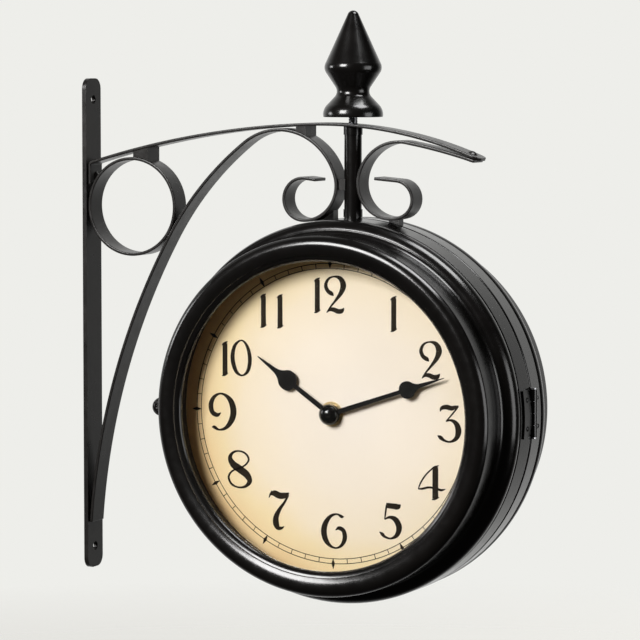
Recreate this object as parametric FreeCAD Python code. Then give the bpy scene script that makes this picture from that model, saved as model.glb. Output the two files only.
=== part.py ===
"""Double sided station clock on a scrolled wall bracket.

Frame: millimetres, +Z up.  The origin lies on the back face of the wall bar,
midway between its two screw holes.  +X leads away from the wall, and the dial
that faces the viewer looks along -Y.
"""

import FreeCAD, Part
import math
import os

V = FreeCAD.Vector
X_AXIS = V(1, 0, 0)
Y_AXIS = V(0, 1, 0)
Z_AXIS = V(0, 0, 1)

# ---- wall bar: flat steel with one screw hole near each end
BAR_LENGTH = 326.0
BAR_WIDTH = 20.0
BAR_THICK = 3.0
BAR_CORNER_R = 7.0
HOLE_SPACING = 298.0
HOLE_R = 3.0

# ---- bracket strips: flat steel bent on edge
STRIP_WIDTH = 16.0
STRIP_THICK = 2.0

# ---- the drum hangs on the post; its axis runs along Y
DRUM_X = 191.5
DRUM_Z = -47.85

# ---- arm: two tangent arcs on the strip's centre line (radius, sweep)
ARM_START = (BAR_THICK, 106.8)
ARM_HEADING = 17.0
ARM_ARCS = ((627.0, -14.9), (276.0, -24.9))
ARM_TAB = 14.0                    # end bent down against the wall bar
ARM_END_R = 5.0

# ---- ring between the wall bar, the arm and the brace
RING_R = 32.5
RING_Z = 78.9

# ---- brace: long leg, shoulder and left scroll
BRACE_START = (4.0, -132.0)
BRACE_HEADING = 85.6
BRACE_ARCS = ((455.0, -25.4), (207.0, -23.3), (41.0, -108.7), (22.5, -112.9), (13.5, -182.3))
BRACE_TIP = 7.5

# ---- right scroll: starts under the arm's end
TIP_SCROLL_START = (277.2, 111.5)
TIP_SCROLL_HEADING = 162.7
TIP_SCROLL_ARCS = ((370.0, 7.4), (28.0, 87.2), (22.0, 122.0), (11.8, 156.0))
TIP_SCROLL_TIP = 15.0

# ---- rivets of the bracket: shank radius, head radius and head height
RIVET_SHANK_R = 1.8
RIVET_HEAD_R = 3.2
RIVET_HEAD_H = 1.5
TIP_RIVET_X = 273.5
TIP_RIVET_GRIP = 4.60             # both strips and the wedge-shaped gap between them

# ---- post, threaded rod and finial
POST_R = 5.6
POST_BORE_R = 4.2
POST_COLLAR_R = 6.1
POST_COLLAR_H = 5.0
ROD_R = 3.0
FINIAL_GAP = 4.2                  # rod that shows between the arm and the finial
FINIAL_BASE_R = 19.1
FINIAL_NECK_R = 10.4
FINIAL_BELLY_R = 18.2
FINIAL_TIP_R = 3.6
FINIAL_TIP_H = 2.6
FINIAL_H = 67.6
FINIAL_BORE_DEPTH = 30.0
SHAFT_GAP = 0.06                  # radial clearance of a shaft in its hole

# ---- drum: each half is a pressed shell, mirrored about the middle plane.
#      "t" is the distance from the middle plane towards a dial's viewer.
SEAM_GAP = 0.3
SEAM_R = 122.2
ROLL_R = 1.6                      # rounded edge at the seam
BAND_R = 121.6
BAND_T = 17.2
GROOVE_R = 120.6
BEAD_R = 8.0
BEAD_CENTRE_R = 113.9
BEAD_CENTRE_T = 21.5
COVE_R = 4.0
BEZEL_WALL_R = 113.2
BEZEL_T = 56.0
BEZEL_EDGE_R = 3.5
BEZEL_INNER_R = 102.6
LENS_R = 97.3
LENS_T = 51.0
SHELL_INNER_R = 120.4
CAVITY_R = 111.8
LIP_BACK_T = 49.5
LIP_BACK_R = 104.5

# ---- what each half carries
GLASS_R = 104.4
GLASS_THICK = 2.0
SPACER_INNER_R = 103.0
SPACER_OUTER_R = 105.2
DIAL_T = 33.0
DIAL_THICK = 1.0
DIAL_R = 105.2
CARRIER_INNER_R = 92.0
CARRIER_THICK = 1.5
CARRIER_SCREWS = 4
CARRIER_SCREW_R = 108.4
MOVEMENT_SIDE = 56.0
MOVEMENT_BACK_T = 15.0
MOVEMENT_CORNER_R = 4.0
BUSH_R = 4.5
BUSH_FRONT_T = 34.8
NUT_FLATS = 11.5
NUT_FRONT_T = 34.5
WASHER_R = 7.9
WASHER_THICK = 0.5
HOUR_TUBE_R = 2.7
HOUR_T = 35.2
MINUTE_SHAFT_R = 1.6
MINUTE_T = 36.4
HAND_THICK = 0.8
CAP_R = 6.5
CAP_RIM_H = 1.0
CAP_H = 4.8

# ---- hands: spade hands, lengths from the arbor's centre
HOUR_LENGTH = 61.1
HOUR_BLADE = 35.5                 # arbor to the middle of the spade
HOUR_SPADE_R = 6.4
HOUR_STEM = 3.3
HOUR_HUB_R = 6.6
HOUR_ANGLE = 304.5                # clockwise from twelve, as the dial is read
MINUTE_LENGTH = 82.2
MINUTE_BLADE = 55.9
MINUTE_SPADE_R = 5.4
MINUTE_STEM = 3.2
MINUTE_HUB_R = 6.4
MINUTE_ANGLE = 71.3

# ---- battery and setting knob on the movement's back
BATTERY_R = 7.15
BATTERY_LENGTH = 49.2
BATTERY_NUB_R = 2.6
BATTERY_NUB = 1.3
BATTERY_Z = -17.0
BATTERY_T = 22.5
BAY_CLEAR = 0.35
KNOB_R = 6.0
KNOB_H = 3.2
KNOB_STEM_R = 1.5
KNOB_X = 13.0
KNOB_Z = 12.0

# ---- hinge on the drum's far side, latch on the side next to the wall bar
HINGE_R = 122.8
HINGE_Z = 3.0
HINGE_LENGTH = 30.0
KNUCKLE_R = 2.6
KNUCKLES = 4
KNUCKLE_GAP = 0.3
PIN_R = 1.3
PIN_HEAD_R = 2.3
PIN_HEAD_H = 0.9
LEAF_THICK = 1.0
LEAF_T = 14.0
SMALL_SHANK_R = 0.9               # rivets of the hinge leaves and of the latch strap
SMALL_HEAD_R = 1.7
SMALL_HEAD_H = 0.8
LEAF_RIVET_T = 9.0
LEAF_RIVET_SPREAD = 9.0
LEAF_RIVET_GRIP = 2.6
NOTCH_R = 3.2
LATCH_Z = -6.0
LATCH_Y = 5.0
LATCH_SHANK_R = 2.0
LATCH_STRAP_THICK = 1.2
LATCH_STRAP_HALF_Z = 6.0
LATCH_STRAP_GAP = 0.35
STRAP_RIVETS_T = (5.0, 10.5)
STRAP_RIVET_GRIP = 3.5
LATCH_SLEEVE_R = 3.6
LATCH_HEAD_R = 6.0
LATCH_DOME_H = 4.5
LATCH_HEAD_START = 135.5          # distances from the drum's axis
LATCH_HEAD_END = 147.0
LINER_THICK = 1.0
LINER_REACH = 4.0
LINER_BACK = 8.0
POST_NUT_R = 9.0
POST_NUT_H = 4.0
POST_NOTCH_R = 6.3


# ------------------------------------------------------------------ helpers

def centre_line(start, heading, arcs, tip=0.0):
    """Pieces of a bent strip's centre line in the X-Z plane.

    Each piece is (kind, radius, centre, first point, last point, heading in,
    heading out); the sweep of an arc is positive to the left."""
    pieces = []
    x, z = start
    angle = math.radians(heading)
    for radius, sweep in arcs:
        side = math.copysign(1.0, sweep)
        cx = x - side * radius * math.sin(angle)
        cz = z + side * radius * math.cos(angle)
        new_angle = angle + math.radians(sweep)
        nx = cx + side * radius * math.sin(new_angle)
        nz = cz - side * radius * math.cos(new_angle)
        pieces.append(("arc", side * radius, (cx, cz), angle, new_angle))
        x, z, angle = nx, nz, new_angle
    if tip:
        nx = x + tip * math.cos(angle)
        nz = z + tip * math.sin(angle)
        pieces.append(("line", 0.0, (x, z), (nx, nz), angle))
    return pieces


def side_edges(pieces, offset, half_width):
    """Edges of the line that runs `offset` to the left of a centre line."""
    edges = []
    for piece in pieces:
        if piece[0] == "arc":
            _, radius, (cx, cz), first, last = piece
            reach = radius - offset
            points = []
            for angle in (first, (first + last) / 2.0, last):
                points.append(V(cx + reach * math.sin(angle), -half_width, cz - reach * math.cos(angle)))
            edges.append(Part.Arc(*points).toShape())
        else:
            _, _, (x0, z0), (x1, z1), angle = piece
            dx = -offset * math.sin(angle)
            dz = offset * math.cos(angle)
            first = V(x0 + dx, -half_width, z0 + dz)
            last = V(x1 + dx, -half_width, z1 + dz)
            edges.append(Part.LineSegment(first, last).toShape())
    return edges


def bent_strip(pieces, thick=STRIP_THICK, width=STRIP_WIDTH):
    """Flat strip on edge: its thickness lies in the X-Z plane, its width along Y."""
    left = side_edges(pieces, thick / 2.0, width / 2.0)
    right = side_edges(pieces, -thick / 2.0, width / 2.0)
    start = (right[0].firstVertex(True).Point, left[0].firstVertex(True).Point)
    end = (left[-1].lastVertex(True).Point, right[-1].lastVertex(True).Point)
    edges = left + [Part.LineSegment(*end).toShape()] + right
    edges.append(Part.LineSegment(*start).toShape())
    wire = Part.Wire(Part.__sortEdges__(edges))
    return Part.Face(wire).extrude(V(0, width, 0))


def cylinder(radius, height, base, axis):
    return Part.makeCylinder(radius, height, base, axis)


def box(x0, x1, y0, y1, z0, z1):
    return Part.makeBox(x1 - x0, y1 - y0, z1 - z0, V(x0, y0, z0))


def dome_rise(base_r, height, r):
    """Height above its base circle, at radius r, of a dome cut from a sphere."""
    sphere_r = (base_r ** 2 + height ** 2) / (2.0 * height)
    return math.sqrt(sphere_r ** 2 - r ** 2) - (sphere_r - height)


def dome(base_r, height):
    """Solid dome on the X-Y plane."""
    edges = [
        Part.Arc(V(base_r, 0, 0), V(base_r / 2, 0, dome_rise(base_r, height, base_r / 2)),
                 V(0, 0, height)).toShape(),
        Part.LineSegment(V(0, 0, height), V(0, 0, 0)).toShape(),
        Part.LineSegment(V(0, 0, 0), V(base_r, 0, 0)).toShape(),
    ]
    return revolved(edges, V(0, 0, 0), Z_AXIS)


def placed(shape, point, direction):
    """Moves a shape's origin to `point` and turns its Z axis to `direction`."""
    copy = shape.copy()
    copy.Placement = FreeCAD.Placement(point, FreeCAD.Rotation(Z_AXIS, direction))
    return copy


def rivet(point, direction, grip, shank_r, head_r, head_h, tail=False):
    """Rivet whose head sits at `point` and whose shank runs `grip` deep."""
    body = cylinder(shank_r, grip, V(0, 0, -grip), Z_AXIS).fuse(dome(head_r, head_h))
    if tail:
        lower = placed(dome(0.8 * head_r, 0.7 * head_h), V(0, 0, -grip), V(0, 0, -1))
        body = body.fuse(lower)
    return placed(body.removeSplitter(), point, direction)


def rivet_hole(point, direction, shank_r):
    return placed(cylinder(shank_r, 20.0, V(0, 0, -10.0), Z_AXIS), point, direction)


def revolved(edges, centre, axis):
    """Solid of revolution of a closed outline about an axis through `centre`."""
    wire = Part.Wire(Part.__sortEdges__(edges))
    return Part.Face(wire).revolve(centre, axis, 360)


def at(r, t):
    """Point of a half shell's outline: radius r, distance t from the middle plane."""
    return V(DRUM_X + r, -t, DRUM_Z)


def outline(points):
    """Closed polygon of (r, t) points as edges."""
    edges = []
    for first, last in zip(points, points[1:] + points[:1]):
        edges.append(Part.LineSegment(at(*first), at(*last)).toShape())
    return edges


def drum_turned(points):
    """Polygon of (r, t) points turned about the drum's axis."""
    return revolved(outline(points), V(DRUM_X, 0, DRUM_Z), Y_AXIS)


def drum_disc(radius, t0, t1):
    """Disc on the drum's axis between two distances from the middle plane."""
    return cylinder(radius, abs(t1 - t0), V(DRUM_X, -max(t0, t1), DRUM_Z), Y_AXIS)


def drum_ring(inner, outer, t0, t1):
    return drum_disc(outer, t0, t1).cut(drum_disc(inner, min(t0, t1) - 1.0, max(t0, t1) + 1.0))


def to_rear(shape):
    """The other half's copy: half a turn about the post's axis."""
    copy = shape.copy()
    copy.rotate(V(DRUM_X, 0, 0), Z_AXIS, 180)
    return copy


def arm_disc(which, offset):
    """Disc bounded by the arm's underside arc `which`, for fitting weld pads."""
    piece = centre_line(ARM_START, ARM_HEADING, ARM_ARCS)[which]
    radius = abs(piece[1]) - offset
    cx, cz = piece[2]
    return cylinder(radius, 60.0, V(cx, -30.0, cz), Y_AXIS)


def scroll_disc(start, heading, arcs, which, offset):
    """Disc bounded by an arc of a scroll, `offset` outside its centre line."""
    piece = centre_line(start, heading, arcs)[which]
    radius = abs(piece[1]) + offset
    cx, cz = piece[2]
    return cylinder(radius, 60.0, V(cx, -30.0, cz), Y_AXIS)


def arm_top(x):
    """Height of the arm's upper face above a point near the post."""
    piece = centre_line(ARM_START, ARM_HEADING, ARM_ARCS)[1]
    cx, cz = piece[2]
    radius = abs(piece[1]) + STRIP_THICK / 2.0
    return cz + math.sqrt(radius ** 2 - (x - cx) ** 2)


LEFT_SCROLL = (BRACE_START, BRACE_HEADING, BRACE_ARCS)
RIGHT_SCROLL = (TIP_SCROLL_START, TIP_SCROLL_HEADING, TIP_SCROLL_ARCS)
ARM_UNDER_Z = arm_top(DRUM_X) - STRIP_THICK - 0.05
FINIAL_Z = arm_top(DRUM_X) + FINIAL_GAP


# ------------------------------------------------------------------ bracket

def make_wall_bar():
    bar = box(0.0, BAR_THICK, -BAR_WIDTH / 2, BAR_WIDTH / 2, -BAR_LENGTH / 2, BAR_LENGTH / 2)
    corners = [e for e in bar.Edges if abs(e.tangentAt(e.FirstParameter).x) > 0.9]
    bar = bar.makeFillet(BAR_CORNER_R, corners)
    for z in (-HOLE_SPACING / 2, HOLE_SPACING / 2):
        bar = bar.cut(cylinder(HOLE_R, BAR_THICK + 2, V(-1, 0, z), X_AXIS))
    return bar.cut(rivet_hole(bar_rivet_point(), X_AXIS, RIVET_SHANK_R))


def bar_rivet_point():
    """Middle of the arm's tab, on the face away from the wall."""
    return V(BAR_THICK + STRIP_THICK, 0, ARM_START[1] - ARM_TAB / 2 - 1.5)


def tip_rivet_place():
    """Point on the arm's upper face near its free end, and the direction away from it."""
    cx, cz = centre_line(ARM_START, ARM_HEADING, ARM_ARCS)[1][2]
    top = arm_top(TIP_RIVET_X)
    return V(TIP_RIVET_X, 0, top), V(TIP_RIVET_X - cx, 0, top - cz)


def make_arm():
    strip = bent_strip(centre_line(ARM_START, ARM_HEADING, ARM_ARCS))
    x0, z0 = ARM_START
    tab = box(x0, x0 + STRIP_THICK, -STRIP_WIDTH / 2, STRIP_WIDTH / 2, z0 - ARM_TAB, z0 + 1.2)
    strip = strip.cut(box(-20, x0, -20, 20, 0, 200))
    strip = strip.fuse(tab).removeSplitter()
    strip = strip.cut(cylinder(ROD_R, 20, V(DRUM_X, 0, ARM_UNDER_Z - 5), Z_AXIS))
    strip = strip.cut(rivet_hole(bar_rivet_point(), X_AXIS, RIVET_SHANK_R))
    strip = strip.cut(rivet_hole(*tip_rivet_place(), RIVET_SHANK_R))
    return round_arm_end(strip)


def round_arm_end(strip):
    """Rounds the two corners of the arm's free end."""
    last = centre_line(ARM_START, ARM_HEADING, ARM_ARCS)[-1]
    cx, cz = last[2]
    end_x = cx + abs(last[1]) * math.sin(-last[4])
    half = STRIP_WIDTH / 2.0
    for side in (-1.0, 1.0):
        y_in = side * (half - ARM_END_R)
        corner = box(end_x - ARM_END_R, end_x + 5, min(y_in, side * 20), max(y_in, side * 20), 60, 160)
        keep = cylinder(ARM_END_R, 100, V(end_x - ARM_END_R, y_in, 60), Z_AXIS)
        strip = strip.cut(corner.cut(keep))
    return strip


def make_ring():
    centre = V(BAR_THICK + RING_R, -STRIP_WIDTH / 2, RING_Z)
    outer = cylinder(RING_R, STRIP_WIDTH, centre, Y_AXIS)
    return outer.cut(cylinder(RING_R - STRIP_THICK, STRIP_WIDTH, centre, Y_AXIS))


def make_brace():
    return bent_strip(centre_line(BRACE_START, BRACE_HEADING, BRACE_ARCS, BRACE_TIP))


def make_tip_scroll():
    pieces = centre_line(TIP_SCROLL_START, TIP_SCROLL_HEADING, TIP_SCROLL_ARCS, TIP_SCROLL_TIP)
    return bent_strip(pieces).cut(rivet_hole(*tip_rivet_place(), RIVET_SHANK_R))


def make_ring_spacer():
    """Block between the arm and the top of the ring."""
    centre = V(BAR_THICK + RING_R, -30, RING_Z)
    block = box(37.0, 48.0, -STRIP_WIDTH / 2, STRIP_WIDTH / 2, RING_Z + RING_R - 6, RING_Z + RING_R + 10)
    block = block.common(arm_disc(0, STRIP_THICK / 2))
    return block.cut(cylinder(RING_R, 60, centre, Y_AXIS))


def make_brace_spacer():
    """Block between the arm and the shoulder of the brace."""
    block = box(155.0, 162.0, -STRIP_WIDTH / 2, STRIP_WIDTH / 2, 118, 136)
    shoulder = scroll_disc(*LEFT_SCROLL, 2, STRIP_THICK / 2)
    return block.common(arm_disc(1, STRIP_THICK / 2)).cut(shoulder)


def make_post_pad():
    """Block between the left scroll and the post."""
    block = box(DRUM_X - 12, DRUM_X - POST_R / 2, -6.0, 6.0, 92.0, 99.0)
    block = block.cut(cylinder(POST_R, 40, V(DRUM_X, 0, 75), Z_AXIS))
    return largest(block.cut(scroll_disc(*LEFT_SCROLL, 3, STRIP_THICK / 2)))


def largest(shape):
    return max(shape.Solids, key=lambda s: s.Volume)


def make_saddle_pad(x0, x1, scroll, which):
    """Pad that carries a scroll's foot on the fixed half of the drum."""
    block = box(x0, x1, SEAM_GAP + 0.3, STRIP_WIDTH / 2, DRUM_Z + 116, DRUM_Z + 130)
    block = block.cut(scroll_disc(*scroll, which, STRIP_THICK / 2))
    return largest(block.cut(rear_solid()))


def make_bar_rivet():
    """Rivet that holds the arm's tab to the wall bar."""
    grip = BAR_THICK + STRIP_THICK
    return rivet(bar_rivet_point(), X_AXIS, grip, RIVET_SHANK_R, RIVET_HEAD_R, RIVET_HEAD_H)


def make_tip_rivet():
    """Rivet through the arm's end and the right scroll's end, its tail seated on the scroll."""
    point, direction = tip_rivet_place()
    body = rivet(point, direction, TIP_RIVET_GRIP, RIVET_SHANK_R, RIVET_HEAD_R, RIVET_HEAD_H, True)
    return largest(body.cut(make_tip_scroll()))


def under_arm(radius, bottom):
    """Upright cylinder on the post's axis, trimmed to the arm's underside."""
    body = cylinder(radius, ARM_UNDER_Z + 2 - bottom, V(DRUM_X, 0, bottom), Z_AXIS)
    return body.common(arm_disc(1, STRIP_THICK / 2))


def make_post():
    bottom = DRUM_Z + SEAM_R - 14.0
    return under_arm(POST_R, bottom).cut(cylinder(POST_BORE_R, 300, V(DRUM_X, 0, bottom - 10), Z_AXIS))


def make_post_collars():
    """Thin sleeves at the foot and the head of the post."""
    foot = cylinder(POST_COLLAR_R, POST_COLLAR_H, V(DRUM_X, 0, DRUM_Z + SEAM_R + 0.5), Z_AXIS)
    head = under_arm(POST_COLLAR_R, ARM_UNDER_Z - POST_COLLAR_H)
    post = cylinder(POST_R, 200, V(DRUM_X, 0, 0), Z_AXIS)
    return Part.makeCompound([foot.cut(post), head.cut(post)])


def make_threaded_rod():
    bottom = ARM_UNDER_Z - 20.0
    top = FINIAL_Z + FINIAL_BORE_DEPTH - 2.0
    rod = cylinder(ROD_R, top - bottom, V(DRUM_X, 0, bottom), Z_AXIS)
    return rod.fuse(cylinder(POST_BORE_R, 8.0, V(DRUM_X, 0, bottom), Z_AXIS)).removeSplitter()


def make_finial():
    """Turned finial: flared foot, neck, belly and a long cone with a rounded tip."""
    def p(r, z):
        return V(DRUM_X + r, 0, FINIAL_Z + z)

    foot_shoulder = p(16.4, 8.0)
    neck_low = p(11.7, 13.0)
    neck_high = p(11.3, 19.2)
    belly_low = p(16.9, 27.6)
    belly_high = p(17.4, 34.6)
    tip_z = FINIAL_H - FINIAL_TIP_H
    tip_start = p(FINIAL_TIP_R, tip_z)
    tip_mid = p(FINIAL_TIP_R / 2, tip_z + dome_rise(FINIAL_TIP_R, FINIAL_TIP_H, FINIAL_TIP_R / 2))
    bore = ROD_R + SHAFT_GAP
    edges = [
        Part.LineSegment(p(bore, 0), p(FINIAL_BASE_R - 0.6, 0)).toShape(),
        Part.LineSegment(p(FINIAL_BASE_R - 0.6, 0), p(FINIAL_BASE_R, 0.6)).toShape(),
        Part.Arc(p(FINIAL_BASE_R, 0.6), p(18.6, 4.6), foot_shoulder).toShape(),
        Part.LineSegment(foot_shoulder, neck_low).toShape(),
        Part.Arc(neck_low, p(FINIAL_NECK_R, 16.2), neck_high).toShape(),
        Part.LineSegment(neck_high, belly_low).toShape(),
        Part.Arc(belly_low, p(FINIAL_BELLY_R, 31.0), belly_high).toShape(),
        Part.LineSegment(belly_high, tip_start).toShape(),
        Part.Arc(tip_start, tip_mid, p(0, FINIAL_H)).toShape(),
        Part.LineSegment(p(0, FINIAL_H), p(0, FINIAL_BORE_DEPTH)).toShape(),
        Part.LineSegment(p(0, FINIAL_BORE_DEPTH), p(bore, FINIAL_BORE_DEPTH)).toShape(),
        Part.LineSegment(p(bore, FINIAL_BORE_DEPTH), p(bore, 0)).toShape(),
    ]
    return revolved(edges, V(DRUM_X, 0, 0), Z_AXIS)


# --------------------------------------------------------------------- drum

def cove_tangents():
    """Centre of the cove and the point where it meets the bead."""
    cove_r = BEZEL_WALL_R + COVE_R
    reach = BEAD_R + COVE_R
    cove_t = BEAD_CENTRE_T + math.sqrt(reach ** 2 - (cove_r - BEAD_CENTRE_R) ** 2)
    share = BEAD_R / reach
    meet_r = BEAD_CENTRE_R + share * (cove_r - BEAD_CENTRE_R)
    meet_t = BEAD_CENTRE_T + share * (cove_t - BEAD_CENTRE_T)
    return (cove_r, cove_t), (meet_r, meet_t)


def on_circle(centre, radius, degrees):
    angle = math.radians(degrees)
    return centre[0] + radius * math.cos(angle), centre[1] + radius * math.sin(angle)


def band_radius(t):
    """Outer radius of the slightly tapered band next to the seam."""
    share = (t - SEAM_GAP - ROLL_R) / (BAND_T - SEAM_GAP - ROLL_R)
    return SEAM_R + share * (BAND_R - SEAM_R)


def shell_profile():
    """Closed outline of a half shell in its (r, t) plane."""
    bead = (BEAD_CENTRE_R, BEAD_CENTRE_T)
    cove, meet = cove_tangents()
    bead_back = on_circle(bead, BEAD_R, -24)
    bead_crest = on_circle(bead, BEAD_R, 20)
    meet_angle = math.degrees(math.atan2(meet[1] - cove[1], meet[0] - cove[0]))
    cove_mid = on_circle(cove, COVE_R, (meet_angle - 180.0) / 2.0)
    wall_start = (BEZEL_WALL_R, cove[1])
    edge = (BEZEL_WALL_R - BEZEL_EDGE_R, BEZEL_T - BEZEL_EDGE_R)
    arc_mid = on_circle(edge, BEZEL_EDGE_R, 45)
    roll = (SEAM_R - ROLL_R, SEAM_GAP + ROLL_R)

    def line(a, b):
        return Part.LineSegment(at(*a), at(*b)).toShape()

    def arc(a, b, c):
        return Part.Arc(at(*a), at(*b), at(*c)).toShape()

    return [
        line((SHELL_INNER_R, SEAM_GAP), (roll[0], SEAM_GAP)),
        arc((roll[0], SEAM_GAP), on_circle(roll, ROLL_R, -45), (SEAM_R, roll[1])),
        line((SEAM_R, roll[1]), (BAND_R, BAND_T)),
        line((BAND_R, BAND_T), (GROOVE_R, BAND_T + 0.5)),
        line((GROOVE_R, BAND_T + 0.5), bead_back),
        arc(bead_back, bead_crest, meet),
        arc(meet, cove_mid, wall_start),
        line(wall_start, (BEZEL_WALL_R, edge[1])),
        arc((BEZEL_WALL_R, edge[1]), arc_mid, (edge[0], BEZEL_T)),
        line((edge[0], BEZEL_T), (BEZEL_INNER_R, BEZEL_T)),
        arc((BEZEL_INNER_R, BEZEL_T), (99.4, 54.2), (LENS_R, LENS_T)),
        line((LENS_R, LENS_T), (LENS_R, LIP_BACK_T)),
        line((LENS_R, LIP_BACK_T), (LIP_BACK_R, LIP_BACK_T)),
        line((LIP_BACK_R, LIP_BACK_T), (CAVITY_R, 53.0)),
        line((CAVITY_R, 53.0), (CAVITY_R, 28.0)),
        line((CAVITY_R, 28.0), (SHELL_INNER_R, 18.5)),
        line((SHELL_INNER_R, 18.5), (SHELL_INNER_R, SEAM_GAP)),
    ]


def bare_shell():
    return revolved(shell_profile(), V(DRUM_X, 0, DRUM_Z), Y_AXIS)


def rear_solid():
    """The fixed half as a full body, for fitting the saddle pads to it."""
    points = [(0, SEAM_GAP), (SEAM_R, SEAM_GAP), (SEAM_R, SEAM_GAP + ROLL_R), (BAND_R, BAND_T), (0, BAND_T)]
    return to_rear(drum_turned(points))


def hinge_axis_cylinder(radius, z0, z1):
    return cylinder(radius, z1 - z0, V(DRUM_X + HINGE_R, 0, DRUM_Z + z0), Z_AXIS)


def hinge_notch():
    low = HINGE_Z - HINGE_LENGTH / 2 - 1.4
    high = HINGE_Z + HINGE_LENGTH / 2 + 1.4
    return hinge_axis_cylinder(NOTCH_R, low, high)


def latch_bore(radius):
    start = V(DRUM_X - LATCH_HEAD_END, LATCH_Y, DRUM_Z + LATCH_Z)
    return cylinder(radius, LATCH_HEAD_END - 105.0, start, X_AXIS)


def post_bore(radius):
    return cylinder(radius, 60, V(DRUM_X, 0, DRUM_Z + 95), Z_AXIS)


def without_holes(shape, places, shank_r):
    for point, direction in places:
        shape = shape.cut(rivet_hole(point, direction, shank_r))
    return shape


def make_front_shell():
    shell = bare_shell().cut(hinge_notch()).cut(post_bore(POST_NOTCH_R))
    return without_holes(shell, leaf_rivet_places(-1.0) + strap_rivet_places(), SMALL_SHANK_R)


def make_rear_shell():
    shell = to_rear(bare_shell()).cut(hinge_notch()).cut(post_bore(POST_R))
    shell = shell.cut(latch_bore(LATCH_SHANK_R + 0.2))
    return without_holes(shell, leaf_rivet_places(1.0), SMALL_SHANK_R)


def make_seam_liner():
    """Ring inside the fixed half that reaches across the seam and keeps dust out."""
    inner = SHELL_INNER_R - LINER_THICK
    loose = SHELL_INNER_R - 0.4
    points = [
        (inner, LINER_REACH), (loose, LINER_REACH), (loose, -SEAM_GAP), (SHELL_INNER_R, -SEAM_GAP),
        (SHELL_INNER_R, -LINER_BACK), (inner, -LINER_BACK),
    ]
    liner = drum_turned(points).cut(hinge_notch()).cut(post_bore(POST_R))
    return liner.cut(latch_bore(LATCH_SHANK_R + 0.2))


def make_glass():
    return drum_disc(GLASS_R, LIP_BACK_T, LIP_BACK_T - GLASS_THICK)


def make_spacer_ring():
    return drum_ring(SPACER_INNER_R, SPACER_OUTER_R, LIP_BACK_T - GLASS_THICK, DIAL_T)


def make_dial():
    plate = drum_disc(DIAL_R, DIAL_T, DIAL_T - DIAL_THICK)
    return plate.cut(drum_disc(BUSH_R, DIAL_T + 1, DIAL_T - DIAL_THICK - 1))


def carrier_screw_places():
    for k in range(CARRIER_SCREWS):
        angle = math.radians(45 + k * 360 / CARRIER_SCREWS)
        yield DRUM_X + CARRIER_SCREW_R * math.cos(angle), DRUM_Z + CARRIER_SCREW_R * math.sin(angle)


def make_carrier():
    """Flat ring that presses the dial and its spacer against the glass."""
    back = DIAL_T - DIAL_THICK
    ring = drum_ring(CARRIER_INNER_R, CAVITY_R, back, back - CARRIER_THICK)
    for x, z in carrier_screw_places():
        ring = ring.cut(cylinder(1.6, 6, V(x, -back - 2, z), Y_AXIS))
    return ring


def make_carrier_screws():
    """Four screws in the carrier, each in a lug on the shell's cavity wall."""
    back = DIAL_T - DIAL_THICK
    screws = []
    for x, z in carrier_screw_places():
        shank = cylinder(1.6, 7.5, V(x, -back - 6.0, z), Y_AXIS)
        head = cylinder(2.8, 1.6, V(x, -back + CARRIER_THICK, z), Y_AXIS)
        slot = box(x - 3, x + 3, -back + CARRIER_THICK + 0.9, 0, z - 0.4, z + 0.4)
        screws.append(shank.fuse(head).removeSplitter().cut(slot))
    return Part.makeCompound(screws)


def make_carrier_lugs():
    """Four lugs between the spacer ring and the cavity wall that take the screws."""
    back = DIAL_T - DIAL_THICK
    band = drum_ring(SPACER_OUTER_R + 0.05, CAVITY_R, back + 8.0, back)
    lugs = []
    for x, z in carrier_screw_places():
        block = cylinder(4.2, 8.0, V(x, -back - 8.0, z), Y_AXIS)
        lugs.append(block.common(band).cut(cylinder(1.6, 7.0, V(x, -back - 6.0, z), Y_AXIS)))
    return Part.makeCompound(lugs)


def battery_bay():
    half = BATTERY_LENGTH / 2 + BATTERY_NUB + BAY_CLEAR
    z = DRUM_Z + BATTERY_Z
    side = BATTERY_R + BAY_CLEAR
    depth = BATTERY_T + side
    return box(DRUM_X - half, DRUM_X + half, -depth, 0, z - side, z + side)


def make_movement():
    """Quartz movement: box, threaded bush through the dial and an open battery bay."""
    half = MOVEMENT_SIDE / 2
    front = DIAL_T - DIAL_THICK
    body = box(DRUM_X - half, DRUM_X + half, -front, -MOVEMENT_BACK_T, DRUM_Z - half, DRUM_Z + half)
    corners = [e for e in body.Edges if abs(e.tangentAt(e.FirstParameter).y) > 0.9]
    body = body.makeFillet(MOVEMENT_CORNER_R, corners)
    body = body.fuse(drum_disc(BUSH_R, BUSH_FRONT_T, front)).removeSplitter()
    body = body.cut(battery_bay())
    body = body.cut(drum_disc(HOUR_TUBE_R + SHAFT_GAP, BUSH_FRONT_T + 1, front - 4.0))
    body = body.cut(drum_disc(MINUTE_SHAFT_R + SHAFT_GAP, BUSH_FRONT_T, front - 7.0))
    knob_hole = V(DRUM_X + KNOB_X, -MOVEMENT_BACK_T - 6.0, DRUM_Z + KNOB_Z)
    return body.cut(cylinder(KNOB_STEM_R + SHAFT_GAP, 7.0, knob_hole, Y_AXIS))


def make_movement_nut():
    """Brass washer and hexagon nut that clamp the dial to the movement's bush."""
    washer = drum_disc(WASHER_R, DIAL_T + WASHER_THICK, DIAL_T)
    corner_r = NUT_FLATS / math.sqrt(3)
    corners = []
    for k in range(7):
        angle = math.radians(60 * k)
        x = DRUM_X + corner_r * math.cos(angle)
        z = DRUM_Z + corner_r * math.sin(angle)
        corners.append(V(x, -NUT_FRONT_T, z))
    height = NUT_FRONT_T - DIAL_T - WASHER_THICK
    nut = Part.Face(Part.makePolygon(corners)).extrude(V(0, height, 0))
    body = washer.fuse(nut).removeSplitter()
    return body.cut(drum_disc(BUSH_R, DIAL_T + 6, DIAL_T - 1))


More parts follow.
